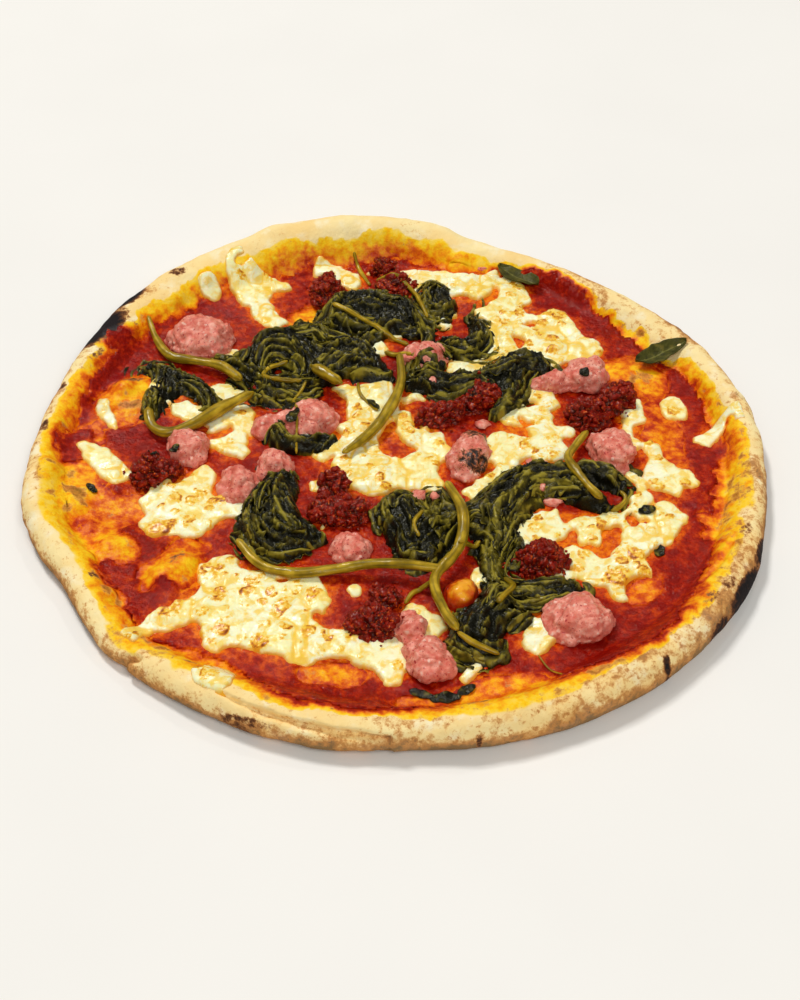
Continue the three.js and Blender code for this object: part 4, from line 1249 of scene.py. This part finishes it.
def blade(start, flow, length, width, lift, ground, seed):
    """One wilted leaf that lies along the flow over what is under it, pleated, with a ragged edge."""
    middle = wander(start, flow, length)
    across = np.gradient(middle, axis=0)
    across = np.stack([-across[:, 1], across[:, 0]], -1) / np.linalg.norm(across, axis=1, keepdims=True)
    along = np.linspace(0, 1, BLADE_STEPS)
    share = np.linspace(-1, 1, BLADE_ACROSS)
    shape = width * np.sin(math.pi * (0.04 + 0.92 * along**0.8)) ** 0.55
    shape = shape * (1 + 0.3 * noise(middle, 5, seed))
    left, right = (noise(middle, 1.9, seed + k)[:, None] for k in (1, 2))
    half = shape[:, None] * (1 + 0.5 * np.where(share < 0, left, right) * np.abs(share) ** 3)
    places = spread(middle, across, half, share)
    pleats = rng.uniform(1.2, 2.4)
    phase = rng.uniform(0, TAU)
    fold = np.cos(math.pi * pleats * share + phase + 2.2 * noise(middle, 9, seed + 3)[:, None])
    ends = (smooth(along, 0, 0.2) * smooth(along, 1, 0.8))[:, None]
    frill = 1.4 * np.abs(share) ** 2 * noise(places, 2.8, seed + 5)
    rise = 0.9 * fold * ends + 0.5 * noise(places, 2.4, seed + 4) + frill
    below = sample(ground, places)
    under = np.maximum(np.minimum(below, below.mean(1, keepdims=True) + 1.5), below - 0.6)
    ribs = 1 - np.minimum(np.abs(noise(places, 2.2, seed + 6)) * 3, 1)
    rib = np.exp(-(share / 0.1) ** 2)
    # the midrib and the vein lines are a real lighter colour; the pleat tops are painted light and the pleat
    # valleys painted shade
    mark = np.clip(0.35 + 0.3 * fold + 0.3 * ribs + 0.45 * rib, 0, 1)
    return sheet(places, under + lift * (0.35 + 0.65 * ends) + rise, BLADE_THICKNESS, {"fold": mark})


def grid_ground(wanted):
    """Height of the topmost surface over the wanted places of the grid, and the bed's elsewhere."""
    heights = np.full(GRID.shape[:2], BED_TOP)
    heights[wanted] = np.nan_to_num(ground_at(GRID[wanted]), nan=BED_TOP)
    return heights


def make_blades(flow, cover):
    ground = blur(grid_ground(cover > 0.005), 1.6)
    parts = []
    for zone, lift in ((cover > 0.6, 1.0), ((cover > 0.12) & (cover < 0.75), 0.7)):
        places = np.argwhere(zone)
        for i, j in places[rng.choice(len(places), BLADES, replace=False)]:
            length, width = rng.uniform(13, 30), rng.uniform(2.6, 5.5)
            parts.append(blade(GRID[i, j], flow, length, width, lift, ground, 300 + 8 * len(parts)))
    points, faces, marks = together(parts)
    make_piece("rabe_leaf_blades", points, faces, leaf_look(), marks=marks)


def make_tomato():
    points, faces, normals = remeshed("tomato", 0.5)
    points = points + normals * (0.9 * fractal(points, 5, 3, 401) * smooth(points[:, 2], 4, 7))[:, None]
    marks = {"top": smooth(points[:, 2], 6, 13)}
    make_piece("tomato_piece", points, faces, tomato_look(), ["tomato"], marks)


# Basil: CAD node, turn, half length, half width, and lift over the CAD leaf's lowest point.
BASIL = [("basil_01", 25, 14, 5.2, -0.8), ("basil_02", -45, 12, 4.8, 0.6)]
BASIL_STEPS = 34
BASIL_ACROSS = 17
BASIL_THICKNESS = 0.5


def make_basil():
    along = np.linspace(-1, 1, BASIL_STEPS)[:, None]
    share = np.linspace(-1, 1, BASIL_ACROSS)
    veins = np.abs(np.sin(9 * (along - 0.6 * np.abs(share)))) < 0.18
    fold = np.clip(0.3 + 0.6 * (np.exp(-(share / 0.09) ** 2) + 0.6 * veins), 0, 1)
    for k, (node, turn, long, wide, lift) in enumerate(BASIL):
        low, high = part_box(node)
        middle = np.array([(low.x + high.x) / 2, (low.y + high.y) / 2]) / MM
        ahead, side = direction(turn)
        line = middle + long * along * ahead + 1.2 * np.sin(2.4 * along) * side
        half = wide * (1 - np.abs(along) ** 2.2) ** 0.7 + 0.25
        half = half * np.ones(BASIL_ACROSS) * (1 + 0.12 * noise(line, 3, 411 + k)[:, None])
        places = spread(line, np.tile(side, (BASIL_STEPS, 1)), half, share)
        cup = 1.6 * np.abs(share) ** 1.5 + 1.4 * np.abs(along) ** 2
        top = low.z / MM + lift + cup + 0.9 * fractal(places, 5, 2, 415)
        points, faces, marks = sheet(places, top, BASIL_THICKNESS, {"fold": fold})
        make_piece(f"{node}_leaf", points, faces, basil_look(), [node], marks)


# Thin stems: x, y along each, then radius and how high the middle stands over what is under it.
SPRIGS = [
    ([(-50, 58), (-57, 55), (-60, 50), (-60, 45), (-57, 41), (-50, 40), (-43, 41)], 1.3, 1.0),
    ([(-30, 92), (-20, 85), (-10, 80), (-2, 76), (5, 72)], 1.2, 0.7),
    ([(-10, 120), (0, 116), (8, 110), (11, 100), (14, 90)], 1.0, 0.8),
    ([(-21, 139), (-18, 130), (-13, 118)], 0.9, 0.6),
    ([(42, -78), (45, -84), (43, -90), (38, -97)], 1.2, 0.8),
    ([(-41, 40), (-46, 28), (-44, 18), (-44, 10), (-44, -3)], 0.6, 0.5),
    ([(88, -40), (92, -37), (95, -32), (93, -28)], 1.2, 0.8),
    ([(14, -82), (6, -84), (2, -90)], 1.0, 0.7),
    ([(-6, 66), (2, 62), (6, 58)], 1.2, 0.8),
    ([(22, -113), (30, -117), (38, -120)], 1.3, 0.7),
    ([(24, -66), (30, -60), (33, -56)], 1.3, 0.7),
    ([(10, -44), (6, -52), (8, -60)], 0.9, 0.6),
    ([(-18, 45), (-17, 36), (-13, 29), (-9, 24)], 0.7, 0.5),
    ([(53, -118), (57, -125), (62, -130)], 0.35, 0.3),
]


def make_sprigs():
    parts = []
    for k, (path, radius, lift) in enumerate(SPRIGS):
        plan = curve_through(path, 1.0) + SHIFT
        height = ground_at(plan)
        height = np.convolve(np.pad(height, 4, mode="edge"), np.ones(9) / 9, "valid")
        size = radius * (1 + 0.25 * noise(plan, 8, 421 + k))
        parts.append(tube(np.column_stack([plan, height + lift, size]), 10, 20 + k))
    make_tubes("rabe_sprigs", parts)


PEBBLE_LEVELS = 6  # rings of points between a bit's poles
PEBBLE_SIDES = 9


def pebble_shell():
    """A ball's points and its faces, between its levels and round its poles."""
    climbs = np.linspace(-math.pi / 2, math.pi / 2, PEBBLE_LEVELS + 2)[1:-1]
    turns = np.arange(PEBBLE_SIDES) * TAU / PEBBLE_SIDES
    shell = [[math.cos(c) * math.cos(t), math.cos(c) * math.sin(t), math.sin(c)]
             for c in climbs for t in turns]
    index = np.arange(len(shell)).reshape(PEBBLE_LEVELS, PEBBLE_SIDES)
    after = np.roll(index, -1, 1)
    quads = np.stack([index[:-1], after[:-1], after[1:], index[1:]], -1).reshape(-1, 4)
    bottom = np.stack([np.full(PEBBLE_SIDES, len(shell)), after[0], index[0]], -1)
    top = np.stack([index[-1], after[-1], np.full(PEBBLE_SIDES, len(shell) + 1)], -1)
    return np.array([*shell, [0, 0, -1], [0, 0, 1]]), quads, np.concatenate([bottom, top])


def pebbles(places, radii, flat, seed, rough):
    """Small uneven bits round the given points."""
    shell, quads, caps = pebble_shell()
    points, groups = [], [[], []]
    for k, (place, radius) in enumerate(zip(places, radii)):
        out = 1 + rough * noise(shell * 1.7 + 9.1 * k, 1.3, seed)
        out += 0.2 * noise(shell * 1.7 + 5.3 * k, 0.6, seed + 1)
        stretch = 1 + 0.35 * np.array([math.cos(k * 2.1), math.cos(k * 3.7), 0])
        points.append(place + shell * out[:, None] * radius * stretch * [1, 1, flat])
        groups[0].append(quads + len(shell) * k)
        groups[1].append(caps + len(shell) * k)
    return np.concatenate(points), [np.concatenate(g) for g in groups]


def scatter(zone, amount, low, high, sink):
    """Places in a zone of the grid, on what lies there, with radii."""
    cells = np.argwhere(zone)
    plan = GRID[tuple(cells[rng.choice(len(cells), amount)].T)] + rng.uniform(-STEP, STEP, (amount, 2))
    radii = low + (high - low) * rng.random(amount) ** 2
    height = ground_at(plan)
    return np.column_stack([plan, height + radii * (0.8 - sink)]), radii


def make_crumbs():
    """Crumbs of the spicy sausage on and round its heaps."""
    heaps = (~np.isnan(height_over(names_of("spicy_sausage")))).astype(float)
    on, on_radii = scatter(heaps > 0.5, 300, 0.6, 2.1, 0.75)
    near, near_radii = scatter((blur(heaps, 3.0) > 0.12) & (heaps < 0.5), 70, 0.35, 0.9, 0.3)
    radii = np.concatenate([on_radii, near_radii])
    points, groups = pebbles(np.concatenate([on, near]), radii, 0.8, 431, 0.6)
    # a little painted shade on the crumbs, in random amounts
    painted_shade, scorch = 0.25 + 0.2 * noise(points, 3, 433), 0.5 * smooth(noise(points, 5, 434), 0.1, 0.8)
    marks = {"painted_shade": painted_shade, "scorch": scorch}
    make_piece("spicy_crumbs", points, groups, spicy_look(), marks=marks)


# Bits of pink sausage that show between other things: x, y, radius.
PINK_BITS = [
    (37, 17, 3.5), (8, -30, 4.5), (15, -33, 3.5), (65, -32, 4), (60, -28, 3), (15, 42, 2.6),
    (41, 129, 2), (62, -9, 3), (56, -8, 2.6), (5, 58, 3.4),
]


def make_pink_bits():
    plan = np.array([b[:2] for b in PINK_BITS], float) + SHIFT
    radii = 0.8 * np.array([b[2] for b in PINK_BITS], float)
    points, groups = pebbles(np.column_stack([plan, ground_at(plan)]), radii, 0.55, 441, 0.7)
    # a little painted shade on the bits, in random amounts
    painted_shade, fat = 0.3 + 0.3 * noise(points, 2.5, 443), 0.4 + 0.4 * noise(points, 2, 444)
    marks = {"painted_shade": painted_shade, "fat": fat, "scorch": np.zeros(len(points))}
    make_piece("sausage_bits", points, groups, sausage_look(), marks=marks)


# Char and herb flakes: x, y, half length, half width, turn.
FLAKES = [
    (8, -136, 5, 2.0, -20), (17, -138, 6, 2.2, 5), (25, -134, 4, 2.0, 30), (103, -40, 4, 2, 20),
    (106, -63, 3, 1.6, 60), (-130, -22, 3.5, 1.6, -50), (-11, 28, 4, 1.4, -50), (-96, -4, 2.4, 1.5, 30),
    (46, -72, 3, 2, 20), (-104, -10, 2.4, 1.6, 0), (83, 41, 2.4, 1.8, 50), (-112, 57, 4, 1.6, 70),
    (-46, 14, 4, 2.4, 60), (-48, 22, 3, 2, 20),
]


FLAKE_STEPS = 14
FLAKE_ACROSS = 7
FLAKE_THICKNESS = 0.4


def make_flakes():
    along = np.linspace(-1, 1, FLAKE_STEPS)[:, None]
    share = np.linspace(-1, 1, FLAKE_ACROSS)
    parts = []
    for k, (x, y, long, wide, turn) in enumerate(FLAKES):
        ahead, side = direction(turn)
        line = np.array([x, y]) + SHIFT + long * along * ahead
        half = wide * (1 - np.abs(along) ** 2) ** 0.6 + 0.2
        half = half * np.ones(FLAKE_ACROSS) * (1 + 0.35 * noise(line, 1.6, 451 + k)[:, None])
        places = spread(line, np.tile(side, (FLAKE_STEPS, 1)), half, share)
        under = ground_at(places.reshape(-1, 2)).reshape(places.shape[:2])
        top = np.maximum(under, under.mean()) + 0.7 + 0.45 * noise(places, 2.6, 455 + k)
        fold = np.clip(0.3 + 0.5 * noise(places, 1.5, 457), 0, 1)
        parts.append(sheet(places, top, FLAKE_THICKNESS, {"fold": fold}))
    points, faces, marks = together(parts)
    make_piece("herb_flakes", points, faces, leaf_look(), marks=marks)


# --- stage ------------------------------------------------------------------------------------------

# The camera: its climb over the floor and its roll in degrees, its lens and film in millimetres.
CAMERA = dict(elevation=43.844, distance=763.26, look_at=(1.904, -25.763, 0), roll=0.505, lens=64.8, film=36)

# The stage, in metres.
FARTHEST_SEEN = 50
FLOOR_HALF = 4.0
FLOOR_LEVEL = -0.0002
SKY_COLOUR = (1.0, 0.985, 0.96, 1)
SKY_STRENGTH = 0.26

# Lights: name, place, side, power. They face the origin.
LIGHTS = [
    ("key", (-1.25, 1.9, 3.6), 0.75, 83),
    ("fill", (0.7, -1.9, 2.4), 1.4, 37),
    ("spark_left", (-1.4, 2.0, 3.2), 0.16, 12),
    ("spark_right", (0.9, 2.5, 3.2), 0.16, 9),
]


def make_camera():
    data = bpy.data.cameras.new("camera")
    data.lens = CAMERA["lens"]
    data.sensor_width = CAMERA["film"]
    data.clip_end = FARTHEST_SEEN
    camera = bpy.data.objects.new("camera", data)
    bpy.context.scene.collection.objects.link(camera)
    climb = math.radians(CAMERA["elevation"])
    back = Vector((0, -math.cos(climb), math.sin(climb)))
    camera.location = (Vector(CAMERA["look_at"]) + back * CAMERA["distance"]) * MM
    camera.rotation_mode = "QUATERNION"
    roll = Quaternion((0, 0, 1), -math.radians(CAMERA["roll"]))
    camera.rotation_quaternion = (-back).to_track_quat("-Z", "Y") @ roll
    bpy.context.scene.camera = camera


def area_light(name, place, size, power):
    data = bpy.data.lights.new(name, "AREA")
    data.size = size
    data.energy = power
    light = bpy.data.objects.new(name, data)
    light.location = place
    light.rotation_mode = "QUATERNION"
    light.rotation_quaternion = (-Vector(place)).to_track_quat("-Z", "Y")
    bpy.context.scene.collection.objects.link(light)


def make_floor():
    corners = [(x * FLOOR_HALF, y * FLOOR_HALF, 0) for x, y in ((-1, -1), (1, -1), (1, 1), (-1, 1))]
    mesh = bpy.data.meshes.new("floor")
    mesh.from_pydata(corners, [], [(0, 1, 2, 3)])
    mesh.materials.append(floor_look())
    floor = bpy.data.objects.new("floor", mesh)
    floor.location.z = FLOOR_LEVEL
    bpy.context.scene.collection.objects.link(floor)


def make_stage():
    make_floor()
    world = bpy.data.worlds.new("studio")
    world.use_nodes = True
    sky = next(n for n in world.node_tree.nodes if n.type == "BACKGROUND")
    sky.inputs["Color"].default_value = SKY_COLOUR
    sky.inputs["Strength"].default_value = SKY_STRENGTH
    bpy.context.scene.world = world
    for light in LIGHTS:
        area_light(*light)
    bpy.context.scene.view_settings.view_transform = "Standard"


make_camera()
make_stage()
crust_tree, outline = make_crust()
inward_grid = inside_crust(outline)
dough_height = grid_drop(crust_tree, inward_grid > 2)
sauce_height, sauce_thick, stain_grid = sauce_layer(dough_height, inward_grid)
others = [n for n in nodes if n != "crust" and not n.startswith("mozzarella")]
covered_grid = (~np.isnan(height_over(others))).astype(float)
cheese_share = cheese_cover(covered_grid, inward_grid)
make_sauce(dough_height, sauce_height, sauce_thick, stain_grid, cheese_share, inward_grid)
ground_height = make_cheese(np.maximum(sauce_height, dough_height), cheese_share)
make_sausage()
make_spicy()
leaf_flow, leaf_cover = make_leaf_mass(ground_height)
make_blades(leaf_flow, leaf_cover)
make_stems()
make_tomato()
make_basil()
make_pink_bits()
make_sprigs()
make_crumbs()
make_flakes()
